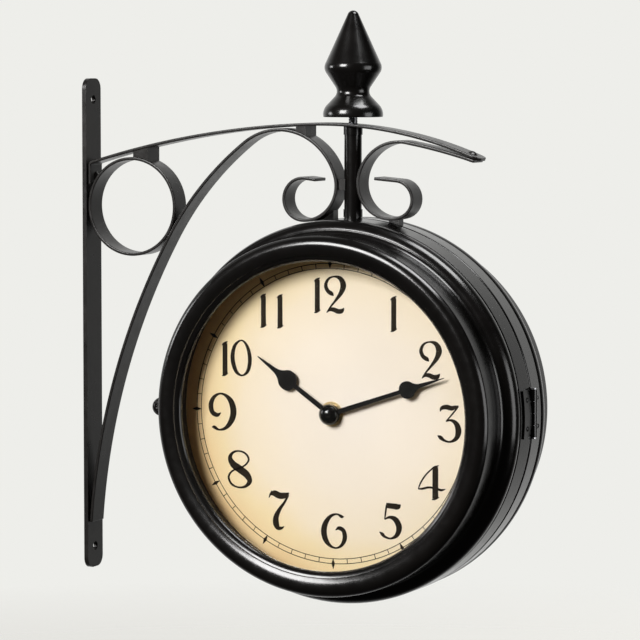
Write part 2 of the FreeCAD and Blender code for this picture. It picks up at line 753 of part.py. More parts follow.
def spade_hand(length, blade, spade_r, stem, hub_r, t):
    """Spade hand that points to twelve: hub disc, tapered stem, spade and spike."""
    top = -t - HAND_THICK

    def p(x, z):
        return V(DRUM_X + x, top, DRUM_Z + z)

    def filled(edges):
        return Part.Face(Part.Wire(edges)).extrude(V(0, HAND_THICK, 0))

    def straight(points):
        return filled(Part.makePolygon(points + points[:1]).Edges)

    stem_end = blade - 0.6 * spade_r
    wide = stem / 2
    slim = 0.4 * stem
    bar = straight([p(-wide, 0), p(wide, 0), p(slim, stem_end), p(-slim, stem_end)])
    hub = cylinder(hub_r, HAND_THICK, p(0, 0), Y_AXIS)
    spike = blade + 2.0 * spade_r
    shoulder = 1.3
    low = p(0, blade - 0.9 * spade_r)
    left = (p(-spade_r, blade), p(-0.62 * spade_r, blade + 0.85 * spade_r), p(-shoulder, spike))
    right = (p(shoulder, spike), p(0.62 * spade_r, blade + 0.85 * spade_r), p(spade_r, blade))
    spade = filled([
        Part.Arc(low, p(-0.78 * spade_r, blade - 0.62 * spade_r), left[0]).toShape(),
        Part.Arc(left[0], p(-0.93 * spade_r, blade + 0.45 * spade_r), left[1]).toShape(),
        Part.Arc(left[1], p(-0.36 * spade_r, blade + 1.28 * spade_r), left[2]).toShape(),
        Part.LineSegment(left[2], p(-0.2, length)).toShape(),
        Part.LineSegment(p(-0.2, length), p(0.2, length)).toShape(),
        Part.LineSegment(p(0.2, length), right[0]).toShape(),
        Part.Arc(right[0], p(0.36 * spade_r, blade + 1.28 * spade_r), right[1]).toShape(),
        Part.Arc(right[1], p(0.93 * spade_r, blade + 0.45 * spade_r), right[2]).toShape(),
        Part.Arc(right[2], p(0.78 * spade_r, blade - 0.62 * spade_r), low).toShape(),
    ])
    return hub.fuse([bar, spade]).removeSplitter()


def set_to(shape, clockwise):
    """Turns a hand from twelve to its place; clockwise is seen from the dial's viewer."""
    copy = shape.copy()
    copy.rotate(V(DRUM_X, 0, DRUM_Z), Y_AXIS, clockwise)
    return copy


def make_hour_hand():
    hand = spade_hand(HOUR_LENGTH, HOUR_BLADE, HOUR_SPADE_R, HOUR_STEM, HOUR_HUB_R, HOUR_T)
    hand = hand.fuse(drum_disc(HOUR_TUBE_R, HOUR_T + HAND_THICK, DIAL_T - 4.5)).removeSplitter()
    hand = hand.cut(drum_disc(MINUTE_SHAFT_R + SHAFT_GAP, HOUR_T + 5, DIAL_T - 6))
    return set_to(hand, HOUR_ANGLE)


def make_minute_hand():
    hand = spade_hand(MINUTE_LENGTH, MINUTE_BLADE, MINUTE_SPADE_R, MINUTE_STEM, MINUTE_HUB_R, MINUTE_T)
    shaft = drum_disc(MINUTE_SHAFT_R, MINUTE_T + HAND_THICK, DIAL_T - 7.5)
    return set_to(hand.fuse(shaft).removeSplitter(), MINUTE_ANGLE)


def make_cap_nut():
    """Domed cap nut over the minute hand."""
    start = MINUTE_T + HAND_THICK
    rim = drum_disc(CAP_R, start, start + CAP_RIM_H)
    top = placed(dome(CAP_R, CAP_H - CAP_RIM_H), at(0, start + CAP_RIM_H), V(0, -1, 0))
    return rim.fuse(top).removeSplitter()


def make_battery():
    """AA cell lying across the movement, its positive end towards +X."""
    half = BATTERY_LENGTH / 2
    base = V(DRUM_X - half, -BATTERY_T, DRUM_Z + BATTERY_Z)
    can = cylinder(BATTERY_R, BATTERY_LENGTH, base, X_AXIS)
    nub = cylinder(BATTERY_NUB_R, BATTERY_NUB, V(DRUM_X + half, -BATTERY_T, DRUM_Z + BATTERY_Z), X_AXIS)
    return can.fuse(nub).removeSplitter()


def make_setting_knob():
    """Milled wheel on the movement's back that sets the hands."""
    x = DRUM_X + KNOB_X
    z = DRUM_Z + KNOB_Z
    back = -MOVEMENT_BACK_T + 0.3
    wheel = cylinder(KNOB_R, KNOB_H, V(x, back, z), Y_AXIS)
    for k in range(12):
        angle = math.radians(30 * k)
        groove = V(x + KNOB_R * math.cos(angle), back - 1, z + KNOB_R * math.sin(angle))
        wheel = wheel.cut(cylinder(0.6, KNOB_H + 2, groove, Y_AXIS))
    stem = cylinder(KNOB_STEM_R, 6.0, V(x, back - 5.8, z), Y_AXIS)
    return wheel.fuse(stem).removeSplitter()


# -------------------------------------------------------- hinge, latch, nut

def knuckle_spans():
    """Height of each knuckle, from the bottom; even ones belong to the fixed leaf."""
    pitch = HINGE_LENGTH / KNUCKLES
    bottom = HINGE_Z - HINGE_LENGTH / 2
    for k in range(KNUCKLES):
        yield k, bottom + k * pitch + KNUCKLE_GAP / 2, bottom + (k + 1) * pitch - KNUCKLE_GAP / 2


def leaf_plate():
    """Plate bent to the band of the viewer's half, next to the seam."""
    near = SEAM_GAP + ROLL_R
    far_r = band_radius(LEAF_T)
    points = [(SEAM_R, near), (far_r, LEAF_T), (far_r + LEAF_THICK, LEAF_T), (SEAM_R + LEAF_THICK, near)]
    plate = drum_turned(points)
    x0 = DRUM_X + 80
    return plate.common(box(x0, x0 + 60, -40, 0, DRUM_Z + HINGE_Z - HINGE_LENGTH / 2,
                            DRUM_Z + HINGE_Z + HINGE_LENGTH / 2))


def make_leaf(fixed):
    plate = leaf_plate()
    if fixed:
        plate = to_rear(plate)
        plate.rotate(V(DRUM_X, 0, 0), Z_AXIS, 180)
        plate = plate.mirror(V(0, 0, 0), Y_AXIS)
    bore = PIN_R if fixed else PIN_R + SHAFT_GAP
    for k, low, high in knuckle_spans():
        if (k % 2 == 0) == fixed:
            plate = plate.fuse(hinge_axis_cylinder(KNUCKLE_R, low, high))
        else:
            plate = plate.cut(hinge_axis_cylinder(KNUCKLE_R + 0.35, low - KNUCKLE_GAP, high + KNUCKLE_GAP))
    plate = plate.removeSplitter()
    plate = plate.cut(hinge_axis_cylinder(bore, HINGE_Z - HINGE_LENGTH, HINGE_Z + HINGE_LENGTH))
    return without_holes(plate, leaf_rivet_places(1.0 if fixed else -1.0), SMALL_SHANK_R)


def make_hinge_pin():
    low = HINGE_Z - HINGE_LENGTH / 2
    high = HINGE_Z + HINGE_LENGTH / 2
    pin = hinge_axis_cylinder(PIN_R, low, high)
    for z0, z1 in ((low - PIN_HEAD_H, low), (high, high + PIN_HEAD_H)):
        pin = pin.fuse(hinge_axis_cylinder(PIN_HEAD_R, z0, z1))
    return pin.removeSplitter()


def radial_place(reach, y, z, side):
    """Point at a distance from the drum's axis, and the direction straight out of it."""
    direction = V(side * math.sqrt(reach ** 2 - z ** 2), 0, z)
    return V(DRUM_X, y, DRUM_Z) + direction, direction


def leaf_rivet_places(side):
    """Two places on a hinge leaf; side is -1 on the viewer's half, 1 on the fixed one."""
    reach = band_radius(LEAF_RIVET_T) + LEAF_THICK + 0.05
    places = []
    for dz in (-LEAF_RIVET_SPREAD, LEAF_RIVET_SPREAD):
        places.append(radial_place(reach, side * LEAF_RIVET_T, HINGE_Z + dz, 1.0))
    return places


def strap_rivet_places():
    reach = SEAM_R + LATCH_STRAP_GAP + LATCH_STRAP_THICK
    return [radial_place(reach, -t, LATCH_Z, -1.0) for t in STRAP_RIVETS_T]


def small_rivets(places, grip):
    heads = (SMALL_SHANK_R, SMALL_HEAD_R, SMALL_HEAD_H)
    return Part.makeCompound([rivet(point, direction, grip, *heads) for point, direction in places])


def make_leaf_rivets(side):
    return small_rivets(leaf_rivet_places(side), LEAF_RIVET_GRIP)


def make_latch_strap():
    """Strap on the swinging half; its open slot slips under the thumb screw's sleeve."""
    near = SEAM_GAP + ROLL_R
    far = LEAF_T
    far_r = band_radius(far)
    clear_r = SEAM_R + LATCH_STRAP_GAP
    back = -LATCH_Y - 4.0
    outer = clear_r + LATCH_STRAP_THICK
    points = [(far_r, far), (SEAM_R, near), (clear_r, near - 0.6), (clear_r, back), (outer, back),
              (outer, far - 1.0), (far_r + 0.4, far)]
    strap = drum_turned(points)
    z = DRUM_Z + LATCH_Z
    half = LATCH_STRAP_HALF_Z
    x0 = DRUM_X - 140
    strap = strap.common(box(x0, x0 + 60, -40, 40, z - half, z + half))
    slot = LATCH_SHANK_R + 0.4
    strap = strap.cut(cylinder(slot, 60, V(x0, LATCH_Y, z), X_AXIS))
    strap = strap.cut(box(x0, x0 + 60, LATCH_Y, 40, z - slot, z + slot))
    return without_holes(strap, strap_rivet_places(), SMALL_SHANK_R)


def make_strap_rivets():
    """Two rivets that hold the strap to the swinging half."""
    return small_rivets(strap_rivet_places(), STRAP_RIVET_GRIP)


def make_latch_nut():
    """Threaded block inside the fixed half that takes the thumb screw."""
    z = DRUM_Z + LATCH_Z
    inner = SHELL_INNER_R - LINER_THICK
    block = box(DRUM_X - inner - 1, DRUM_X - inner + 7, LATCH_Y - 4.4, LATCH_Y + 3.0, z - 5, z + 5)
    block = block.common(drum_disc(inner, -40, 40))
    return block.cut(latch_bore(LATCH_SHANK_R + SHAFT_GAP))


def make_latch_screw():
    """Thumb screw: shank, sleeve and domed head, along -X."""
    z = DRUM_Z + LATCH_Z
    sleeve_start = SEAM_R + LATCH_STRAP_GAP + LATCH_STRAP_THICK + 0.3

    def p(distance, r):
        return V(DRUM_X - distance, LATCH_Y, z + r)

    shank_end = SHELL_INNER_R - LINER_THICK - 7.0
    head = LATCH_HEAD_START
    dome_start = LATCH_HEAD_END - LATCH_DOME_H
    points = [
        (shank_end, 0), (shank_end, LATCH_SHANK_R), (sleeve_start, LATCH_SHANK_R),
        (sleeve_start, LATCH_SLEEVE_R), (head, LATCH_SLEEVE_R), (head, LATCH_HEAD_R - 0.5),
        (head + 0.5, LATCH_HEAD_R), (dome_start, LATCH_HEAD_R), (dome_start, 0),
    ]
    edges = []
    for first, last in zip(points, points[1:] + points[:1]):
        edges.append(Part.LineSegment(p(*first), p(*last)).toShape())
    body = revolved(edges, V(0, LATCH_Y, z), X_AXIS)
    top = placed(dome(LATCH_HEAD_R, LATCH_DOME_H), p(dome_start, 0), V(-1, 0, 0))
    return body.fuse(top).removeSplitter()


def make_post_nut():
    """Ring nut under the drum's skin that holds the post to the fixed half."""
    top = DRUM_Z + SHELL_INNER_R - LINER_THICK - 1.0
    nut = cylinder(POST_NUT_R, POST_NUT_H, V(DRUM_X, 0, top - POST_NUT_H), Z_AXIS)
    seat = box(DRUM_X - 7, DRUM_X + 7, SEAM_GAP + 0.3, LINER_BACK, top - 1.0, top + 4)
    seat = seat.common(drum_disc(SHELL_INNER_R - LINER_THICK, -40, 40))
    body = nut.fuse(seat).removeSplitter()
    return body.cut(cylinder(POST_R, 60, V(DRUM_X, 0, top - 30), Z_AXIS))


# -------------------------------------------------------------------- write

def half_pieces():
    """Pieces that both halves carry, modelled on the viewer's side."""
    return {
        "glass": make_glass(),
        "spacer_ring": make_spacer_ring(),
        "dial": make_dial(),
        "dial_carrier": make_carrier(),
        "carrier_lugs": make_carrier_lugs(),
        "carrier_screws": make_carrier_screws(),
        "movement": make_movement(),
        "movement_nut": make_movement_nut(),
        "hour_hand": make_hour_hand(),
        "minute_hand": make_minute_hand(),
        "cap_nut": make_cap_nut(),
        "battery": make_battery(),
        "setting_knob": make_setting_knob(),
    }


def all_pieces():
    pieces = {
        "wall_bar": make_wall_bar(),
        "arm": make_arm(),
        "bracket_ring": make_ring(),
        "brace_scroll": make_brace(),
        "tip_scroll": make_tip_scroll(),
        "ring_spacer": make_ring_spacer(),
        "brace_spacer": make_brace_spacer(),
        "post_pad": make_post_pad(),
        "saddle_pad_left": make_saddle_pad(DRUM_X - 27, DRUM_X - 14, LEFT_SCROLL, 3),
        "saddle_pad_right": make_saddle_pad(DRUM_X + 24.5, DRUM_X + 31.5, RIGHT_SCROLL, 2),
        "bar_rivet": make_bar_rivet(),
        "tip_rivet": make_tip_rivet(),
        "post": make_post(),
        "post_collars": make_post_collars(),
        "threaded_rod": make_threaded_rod(),
        "finial": make_finial(),
        "post_nut": make_post_nut(),
        "front_shell": make_front_shell(),
        "rear_shell": make_rear_shell(),
        "seam_liner": make_seam_liner(),
        "hinge_leaf_front": make_leaf(False),
        "hinge_leaf_rear": make_leaf(True),
        "hinge_pin": make_hinge_pin(),
        "leaf_rivets_front": make_leaf_rivets(-1.0),
        "leaf_rivets_rear": make_leaf_rivets(1.0),
        "latch_strap": make_latch_strap(),
        "strap_rivets": make_strap_rivets(),
        "latch_nut": make_latch_nut(),
        "latch_screw": make_latch_screw(),
    }
    for name, shape in half_pieces().items():
        pieces["front_" + name] = shape
        pieces["rear_" + name] = to_rear(shape)
    return pieces


def main():
    os.makedirs("parts", exist_ok=True)
    for name, shape in all_pieces().items():
        solids = shape.Solids
        print(name, "solids", len(solids), "volume", round(shape.Volume, 1), "valid", shape.isValid())
        shape.exportStep("parts/" + name + ".step")


main()
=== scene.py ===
"""Double sided station clock on a scrolled wall bracket: surfaces, finishes and studio."""
import logging
import math
from dataclasses import dataclass, field
from enum import Enum

import bmesh
import bpy
import numpy as np
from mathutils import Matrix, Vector

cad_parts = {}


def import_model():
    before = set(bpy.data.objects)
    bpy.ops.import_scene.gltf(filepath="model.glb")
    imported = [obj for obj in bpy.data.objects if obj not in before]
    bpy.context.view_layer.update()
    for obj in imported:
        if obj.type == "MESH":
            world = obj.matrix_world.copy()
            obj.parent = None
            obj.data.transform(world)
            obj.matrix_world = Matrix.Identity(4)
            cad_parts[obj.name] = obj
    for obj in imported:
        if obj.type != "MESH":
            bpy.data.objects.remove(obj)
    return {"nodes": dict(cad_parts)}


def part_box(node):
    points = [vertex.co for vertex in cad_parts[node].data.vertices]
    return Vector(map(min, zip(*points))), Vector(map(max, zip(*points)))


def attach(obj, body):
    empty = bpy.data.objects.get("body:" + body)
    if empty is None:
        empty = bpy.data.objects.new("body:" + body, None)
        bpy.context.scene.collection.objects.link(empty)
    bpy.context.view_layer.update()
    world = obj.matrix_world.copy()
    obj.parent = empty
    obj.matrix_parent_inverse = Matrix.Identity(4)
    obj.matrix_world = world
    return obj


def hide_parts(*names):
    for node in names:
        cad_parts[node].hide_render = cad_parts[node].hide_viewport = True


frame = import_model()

LOG = logging.getLogger("station_clock")
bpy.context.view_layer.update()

Pair = tuple[float, float]
Triple = tuple[float, float, float]
Socket = bpy.types.NodeSocket

# Places that every sub-assembly shares, in millimetres in the part's own frame; MM gives metres.
# FINIAL_GAP is from the arm's top to the finial's foot, HINGE_DISTANCE from the drum's axis to the
# hinge pin, and END_EDGE the radius of the edges at a strip's ends.
MM = 0.001
DRUM_X = 191.5
DRUM_Z = -47.85
STRIP_HALF_WIDTH = 8.0
STRIP_HALF_THICK = 1.0
END_EDGE = 0.35
BAR_THICK = 3.0
ARM_TOP_Z = 134.37
FINIAL_GAP = 4.2
FINIAL_Z = ARM_TOP_Z + FINIAL_GAP
HINGE_DISTANCE = 122.8
SCREW_Y = 5.0
SCREW_Z = DRUM_Z - 6.0

RIGHT = (1, 0, 0)
LEFT = (-1, 0, 0)
BACK = (0, 1, 0)
UP = (0, 0, 1)

# TINY guards divisions. Outline points closer than SAME_POINT are one point. LEAST_ANGLE, in radians,
# is the least half angle of a corner, and the least turn of a corner that is rounded.
TINY = 1e-12
SAME_POINT = 1e-5
LEAST_ANGLE = 1e-3

# Distances in metres at which a mesh's points are merged and its slivers dissolved.
MERGE = 1e-6
SLIVER = 1e-7


class Side(Enum):
    """The two faces of the drum; the value is the sign of t along -Y."""

    FRONT = 1.0
    REAR = -1.0

    @property
    def word(self) -> str:
        """Prefix of this side's node names."""
        return self.name.lower()

    @property
    def body(self) -> str:
        """CAD body that carries this side's case half."""
        return "front_case" if self is Side.FRONT else "bracket"


# ------------------------------------------------------------------ curves and outlines


def unit(rows: np.ndarray) -> np.ndarray:
    """Rows scaled to length one."""
    return rows / np.maximum(np.linalg.norm(rows, axis=-1, keepdims=True), TINY)


def before(rows: np.ndarray) -> np.ndarray:
    """Sum of all earlier rows, for each row."""
    return np.concatenate([np.zeros_like(rows[:1]), np.cumsum(rows, axis=0)[:-1]])


def arc_points(centre: Pair, radius: float, first: float, last: float,
               steps: int = 16) -> np.ndarray:
    """Arc's points: centre + radius (cos a, sin a), a running from first to last in degrees."""
    a = np.radians(np.linspace(first, last, steps + 1))
    return np.stack([centre[0] + radius * np.cos(a), centre[1] + radius * np.sin(a)], axis=1)


def arc_through(p0: Pair, p1: Pair, p2: Pair,
                steps: int = 16) -> np.ndarray:
    """Arc from p0 through p1 to p2; its centre is equally far from all three.

    Args:
        p0: First point.
        p1: A point between.
        p2: Last point.
        steps: Number of spans.

    Returns:
        Points as rows of two numbers.
    """
    a, b, c = (np.asarray(p, float) for p in (p0, p1, p2))
    rows = 2.0 * np.stack([b - a, c - a])
    centre = np.linalg.solve(rows, [b @ b - a @ a, c @ c - a @ a])
    turn = np.unwrap([math.atan2(*(p - centre)[::-1]) for p in (a, b, c)])
    return arc_points(tuple(centre), float(np.linalg.norm(a - centre)), math.degrees(turn[0]),
                      math.degrees(turn[2]), steps)


def ball_radius(radius: float, rise: float) -> float:
    """Radius of the ball whose cap has this foot radius and rise: (r^2 + h^2) / 2h."""
    return (radius**2 + rise**2) / (2.0 * rise)


def without_repeats(points: np.ndarray, closed: bool) -> np.ndarray:
    """Outline without points that repeat the one before.

    Args:
        points: Outline points.
        closed: Whether the last point joins the first.

    Returns:
        The outline with only distinct neighbours.
    """
    step = np.linalg.norm(points - np.roll(points, 1, axis=0), axis=1)
    keep = step > SAME_POINT
    if not closed:
        keep[0] = True
    return points[keep]


def rounded(points: np.ndarray, radii: np.ndarray | float, closed: bool = True,
            steps: int = 5) -> np.ndarray:
    """Outline whose corners are replaced by tangent arcs of the given radii.

    At a corner with unit vectors u and v along its two sides, the arc's centre lies on their
    bisector at radius / sin(half angle), and its points turn evenly from one side to the other.

    Args:
        points: Corner points.
        radii: One radius, or one for each corner.
        closed: Whether the outline closes.
        steps: Spans in each arc.

    Returns:
        The rounded outline.
    """
    p = np.asarray(points, float)
    r = np.broadcast_to(np.asarray(radii, float), len(p)).copy()
    if not closed:
        r[[0, -1]] = 0.0
    u = unit(np.roll(p, 1, axis=0) - p)
    v = unit(np.roll(p, -1, axis=0) - p)
    half = np.arccos(np.clip((u * v).sum(1), -1.0, 1.0)) / 2.0
    half = np.clip(half, LEAST_ANGLE, math.pi / 2)
    reach = r / np.tan(half)
    centre = p + unit(u + v) * (r / np.sin(half))[:, None]
    first = p + u * reach[:, None] - centre
    last = p + v * reach[:, None] - centre
    sweep = np.maximum(math.pi - 2.0 * half, TINY)[:, None]
    s = np.linspace(0.0, 1.0, steps + 1)[None, :]
    k0 = (np.sin((1.0 - s) * sweep) / np.sin(sweep))[..., None]
    k1 = (np.sin(s * sweep) / np.sin(sweep))[..., None]
    flat = ((r < TINY) | (sweep[:, 0] < LEAST_ANGLE))[:, None, None]
    arcs = centre[:, None, :] + np.where(flat, (p - centre)[:, None, :], k0 * first[:, None, :]
                                         + k1 * last[:, None, :])
    return without_repeats(arcs.reshape(-1, 2), closed)


def supported(points: np.ndarray, closed: bool = True, reach: float = 0.35) -> np.ndarray:
    """Outline with two more points on each long straight, close to its ends.

    They keep the smooth shading of a rounded corner from spreading over the flat beside it.

    Args:
        points: Outline points.
        closed: Whether the outline closes.
        reach: Distance of the added points from the ends.

    Returns:
        The outline with the added points.
    """
    step = np.roll(points, -1, axis=0) - points
    length = np.linalg.norm(step, axis=1)
    if not closed:
        length[-1] = 0.0
    share = np.where(length > 4.0 * reach, reach / np.maximum(length, TINY), np.nan)
    shares = np.stack([np.zeros(len(points)), share, 1.0 - share], axis=1)
    grown = points[:, None, :] + step[:, None, :] * shares[..., None]
    return grown.reshape(-1, 2)[~np.isnan(shares).reshape(-1)]


def smooth_stroke(knots: np.ndarray, closed: bool, spans: int = 9) -> np.ndarray:
    """Cubic curve through knots: Hermite spans whose tangents are chord-weighted neighbour slopes.

    Args:
        knots: Rows of x, y and half width.
        closed: Whether the curve joins its own start.
        spans: Points for each span.

    Returns:
        Rows of x, y and half width along the curve.
    """
    k = np.asarray(knots, float)
    if closed:
        k = np.concatenate([k[-2:-1], k, k[1:2]])
    else:
        k = np.concatenate([2 * k[:1] - k[1:2], k, 2 * k[-1:] - k[-2:-1]])
    gap = np.sqrt(np.maximum(np.linalg.norm(np.diff(k[:, :2], axis=0), axis=1), TINY))[:, None]
    slope = np.diff(k, axis=0) / gap
    tangent = (slope[:-1] * gap[1:] + slope[1:] * gap[:-1]) / (gap[:-1] + gap[1:])
    s = np.linspace(0.0, 1.0, spans, endpoint=False)[None, :, None]
    p0, p1 = k[1:-2, None, :], k[2:-1, None, :]
    m0, m1 = (tangent[:-1] * gap[1:-1])[:, None, :], (tangent[1:] * gap[1:-1])[:, None, :]
    curve = ((2 * s**3 - 3 * s**2 + 1) * p0 + (s**3 - 2 * s**2 + s) * m0
             + (3 * s**2 - 2 * s**3) * p1 + (s**3 - s**2) * m1).reshape(-1, 3)
    return curve if closed else np.concatenate([curve, k[-2:-1]])


@dataclass(frozen=True)
class BentLine:
    """Centre line of a bent strip in the X-Z plane: tangent arcs, then a straight tip.

    Attributes:
        start: First point (x, z).
        heading: First direction in degrees from +X.
        arcs: Radius and sweep of each arc; a positive sweep turns left.
        tip: Length of the straight end.
        lead: Length of a straight run before the first arc.
    """

    start: Pair
    heading: float
    arcs: tuple[Pair, ...]
    tip: float = 0.0
    lead: float = 0.0

    @staticmethod
    def travel(length: np.ndarray, bend: np.ndarray, heading: np.ndarray) -> np.ndarray:
        """Steps over runs of one bend k: (sin h' - sin h, cos h - cos h') / k, with h' = h + k length.

        Args:
            length: Length of each run.
            bend: Curvature of each run; 0 gives the straight step length (cos h, sin h).
            heading: First heading of each run in radians.

        Returns:
            Steps (n, 2).
        """
        straight = np.abs(bend) < TINY
        safe = np.where(straight, 1.0, bend)
        end = heading + bend * length
        dx = np.where(straight, length * np.cos(heading), (np.sin(end) - np.sin(heading)) / safe)
        dz = np.where(straight, length * np.sin(heading), (np.cos(heading) - np.cos(end)) / safe)
        return np.stack([dx, dz], axis=1)

    def runs(self) -> tuple[np.ndarray, np.ndarray, np.ndarray, np.ndarray]:
        """Start length, curvature, first heading and first point of each run.

        Returns:
            Four arrays, one entry for each run, with a last entry for the end.
        """
        lengths = np.array([self.lead, *(r * math.radians(abs(s)) for r, s in self.arcs), self.tip, 0.0])
        bends = np.array([0.0, *(math.copysign(1.0 / r, s) for r, s in self.arcs), 0.0, 0.0])
        heads = math.radians(self.heading) + before(lengths * bends)
        points = np.array(self.start) + before(self.travel(lengths, bends, heads))
        return before(lengths), bends, heads, points

    @property
    def length(self) -> float:
        """Whole length of the line."""
        return float(self.runs()[0][-1])

    def at(self, s: np.ndarray) -> tuple[np.ndarray, np.ndarray]:
        """Points and headings at lengths s: within a run the heading grows by curvature x length.

        Args:
            s: Lengths from the start.

        Returns:
            Points (n, 2) and headings (n,) in radians.
        """
        starts, bends, heads, points = self.runs()
        i = np.clip(np.searchsorted(starts[:-1], s, side="right") - 1, 0, len(starts) - 2)
        along = s - starts[i]
        return points[i] + self.travel(along, bends[i], heads[i]), heads[i] + bends[i] * along


# ------------------------------------------------------------------ surfaces


@dataclass
class Surface:
    """Points and faces in millimetres, gathered as arrays before they become one mesh."""

    points: list[np.ndarray] = field(default_factory=list)
    faces: list[np.ndarray] = field(default_factory=list)
    count: int = 0

    def add(self, points: np.ndarray, *faces: np.ndarray) -> None:
        """Adds points and faces that number them from zero.

        Args:
            points: Rows of x, y and z.
            *faces: Arrays of point numbers, one face to a row.
        """
        self.points.append(points.reshape(-1, 3))
        self.faces += [f + self.count for f in faces]
        self.count += len(self.points[-1])

    def add_grid(self, grid: np.ndarray, wrap_u: bool = False, wrap_v: bool = False,
                 caps: bool = False) -> None:
        """Adds a surface of two parameters as four-sided faces.

        Args:
            grid: Points as (u, v, 3).
            wrap_u: Whether the last row joins the first.
            wrap_v: Whether the last column joins the first.
            caps: Whether the first and last rows are closed by one face each.
        """
        n, m = grid.shape[:2]
        i = np.arange(n if wrap_u else n - 1)[:, None]
        j = np.arange(m if wrap_v else m - 1)[None, :]
        i2, j2 = (i + 1) % n, (j + 1) % m
        quads = np.stack([i * m + j, i2 * m + j, i2 * m + j2, i * m + j2], axis=-1).reshape(-1, 4)
        ends = [np.arange(m)[None, ::-1], (n - 1) * m + np.arange(m)[None, :]] if caps else []
        self.add(grid, quads, *ends)

    def mesh(self, name: str, sharp: float) -> bpy.types.Mesh:
        """Joins the arrays into a closed mesh in metres whose faces point outwards.

        Args:
            name: Name of the mesh.
            sharp: Angle in degrees past which an edge stays sharp.

        Returns:
            The mesh.
        """
        points = np.concatenate(self.points) * MM
        totals = np.concatenate([np.full(len(f), f.shape[1]) for f in self.faces])
        corners = np.concatenate([f.reshape(-1) for f in self.faces])
        mesh = bpy.data.meshes.new(name)
        mesh.vertices.add(len(points))
        mesh.vertices.foreach_set("co", points.astype(np.float32).reshape(-1))
        mesh.loops.add(len(corners))
        mesh.loops.foreach_set("vertex_index", corners.astype(np.int32))
        mesh.polygons.add(len(totals))
        mesh.polygons.foreach_set("loop_start", (np.cumsum(totals) - totals).astype(np.int32))
        mesh.polygons.foreach_set("loop_total", totals.astype(np.int32))
        mesh.update(calc_edges=True)
        mesh.validate()
        work = bmesh.new()
        work.from_mesh(mesh)
        bmesh.ops.remove_doubles(work, verts=work.verts, dist=MERGE)
        bmesh.ops.dissolve_degenerate(work, edges=work.edges, dist=SLIVER)
        bmesh.ops.recalc_face_normals(work, faces=work.faces)
        work.to_mesh(mesh)
        work.free()
        mesh.shade_smooth()
        mesh.set_sharp_from_angle(angle=math.radians(sharp))
        return mesh

    def piece(self, name: str, sharp: float = 32.0) -> bpy.types.Object:
        """Makes the scene object of this surface, at the origin.

        Args:
            name: Name of the piece.
            sharp: Angle in degrees past which an edge stays sharp.

        Returns:
            The object.
        """
        made = bpy.data.objects.new(name, self.mesh(name, sharp))
        bpy.context.scene.collection.objects.link(made)
        return made


def lathe(profile: np.ndarray, origin: Triple, axis: Triple,
          start: Triple, segments: int = 192,
          swell: np.ndarray | None = None) -> np.ndarray:
    """Surface of revolution: origin + h axis + r (cos a start + sin a side).

    Args:
        profile: Rows of radius r and height h.
        origin: Point on the axis.
        axis: Unit direction of the axis.
        start: Unit direction of angle zero.
        segments: Steps round the axis.
        swell: Radius factor for each profile point and angle, or none.

    Returns:
        Grid (profile points, segments, 3).
    """
    a = np.linspace(0.0, 2.0 * math.pi, segments, endpoint=False)
    along, first = np.asarray(axis, float), np.asarray(start, float)
    side = np.cross(along, first)
    spoke = np.cos(a)[:, None] * first + np.sin(a)[:, None] * side
    r = profile[:, 0][:, None] * (np.ones((len(profile), segments)) if swell is None else swell)
    return np.asarray(origin, float) + profile[:, 1][:, None, None] * along + r[..., None] * spoke


def turned(profile: np.ndarray, origin: Triple, axis: Triple,
           start: Triple, segments: int = 192, closed: bool = True) -> Surface:
    """Closed surface turned from an outline.

    Args:
        profile: Rows of radius and height; an open outline starts and ends on the axis.
        origin: Point on the axis.
        axis: Unit direction of the axis.
        start: Unit direction of angle zero.
        segments: Steps round the axis.
        closed: Whether the outline closes on itself.

    Returns:
        The surface.
    """
    made = Surface()
    made.add_grid(lathe(profile, origin, axis, start, segments), wrap_u=closed, wrap_v=True)
    return made


def cut(piece: bpy.types.Object, cutters: list[bpy.types.Object], sharp: float = 32.0) -> None:
    """Takes the cutters' space out of a piece and removes the cutters.

    Args:
        piece: Piece that loses material.
        cutters: Closed cutting shapes.
        sharp: Angle in degrees past which an edge stays sharp.
    """
    for cutter in cutters:
        step = piece.modifiers.new(cutter.name, "BOOLEAN")
        step.operation, step.solver, step.object = "DIFFERENCE", "EXACT", cutter
    graph = bpy.context.evaluated_depsgraph_get()
    mesh = bpy.data.meshes.new_from_object(piece.evaluated_get(graph))
    piece.modifiers.clear()
    old, piece.data = piece.data, mesh
    mesh.name = piece.name
    bpy.data.meshes.remove(old)
    for cutter in cutters:
        bpy.data.meshes.remove(cutter.data)
    mesh.shade_smooth()
    mesh.set_sharp_from_angle(angle=math.radians(sharp))


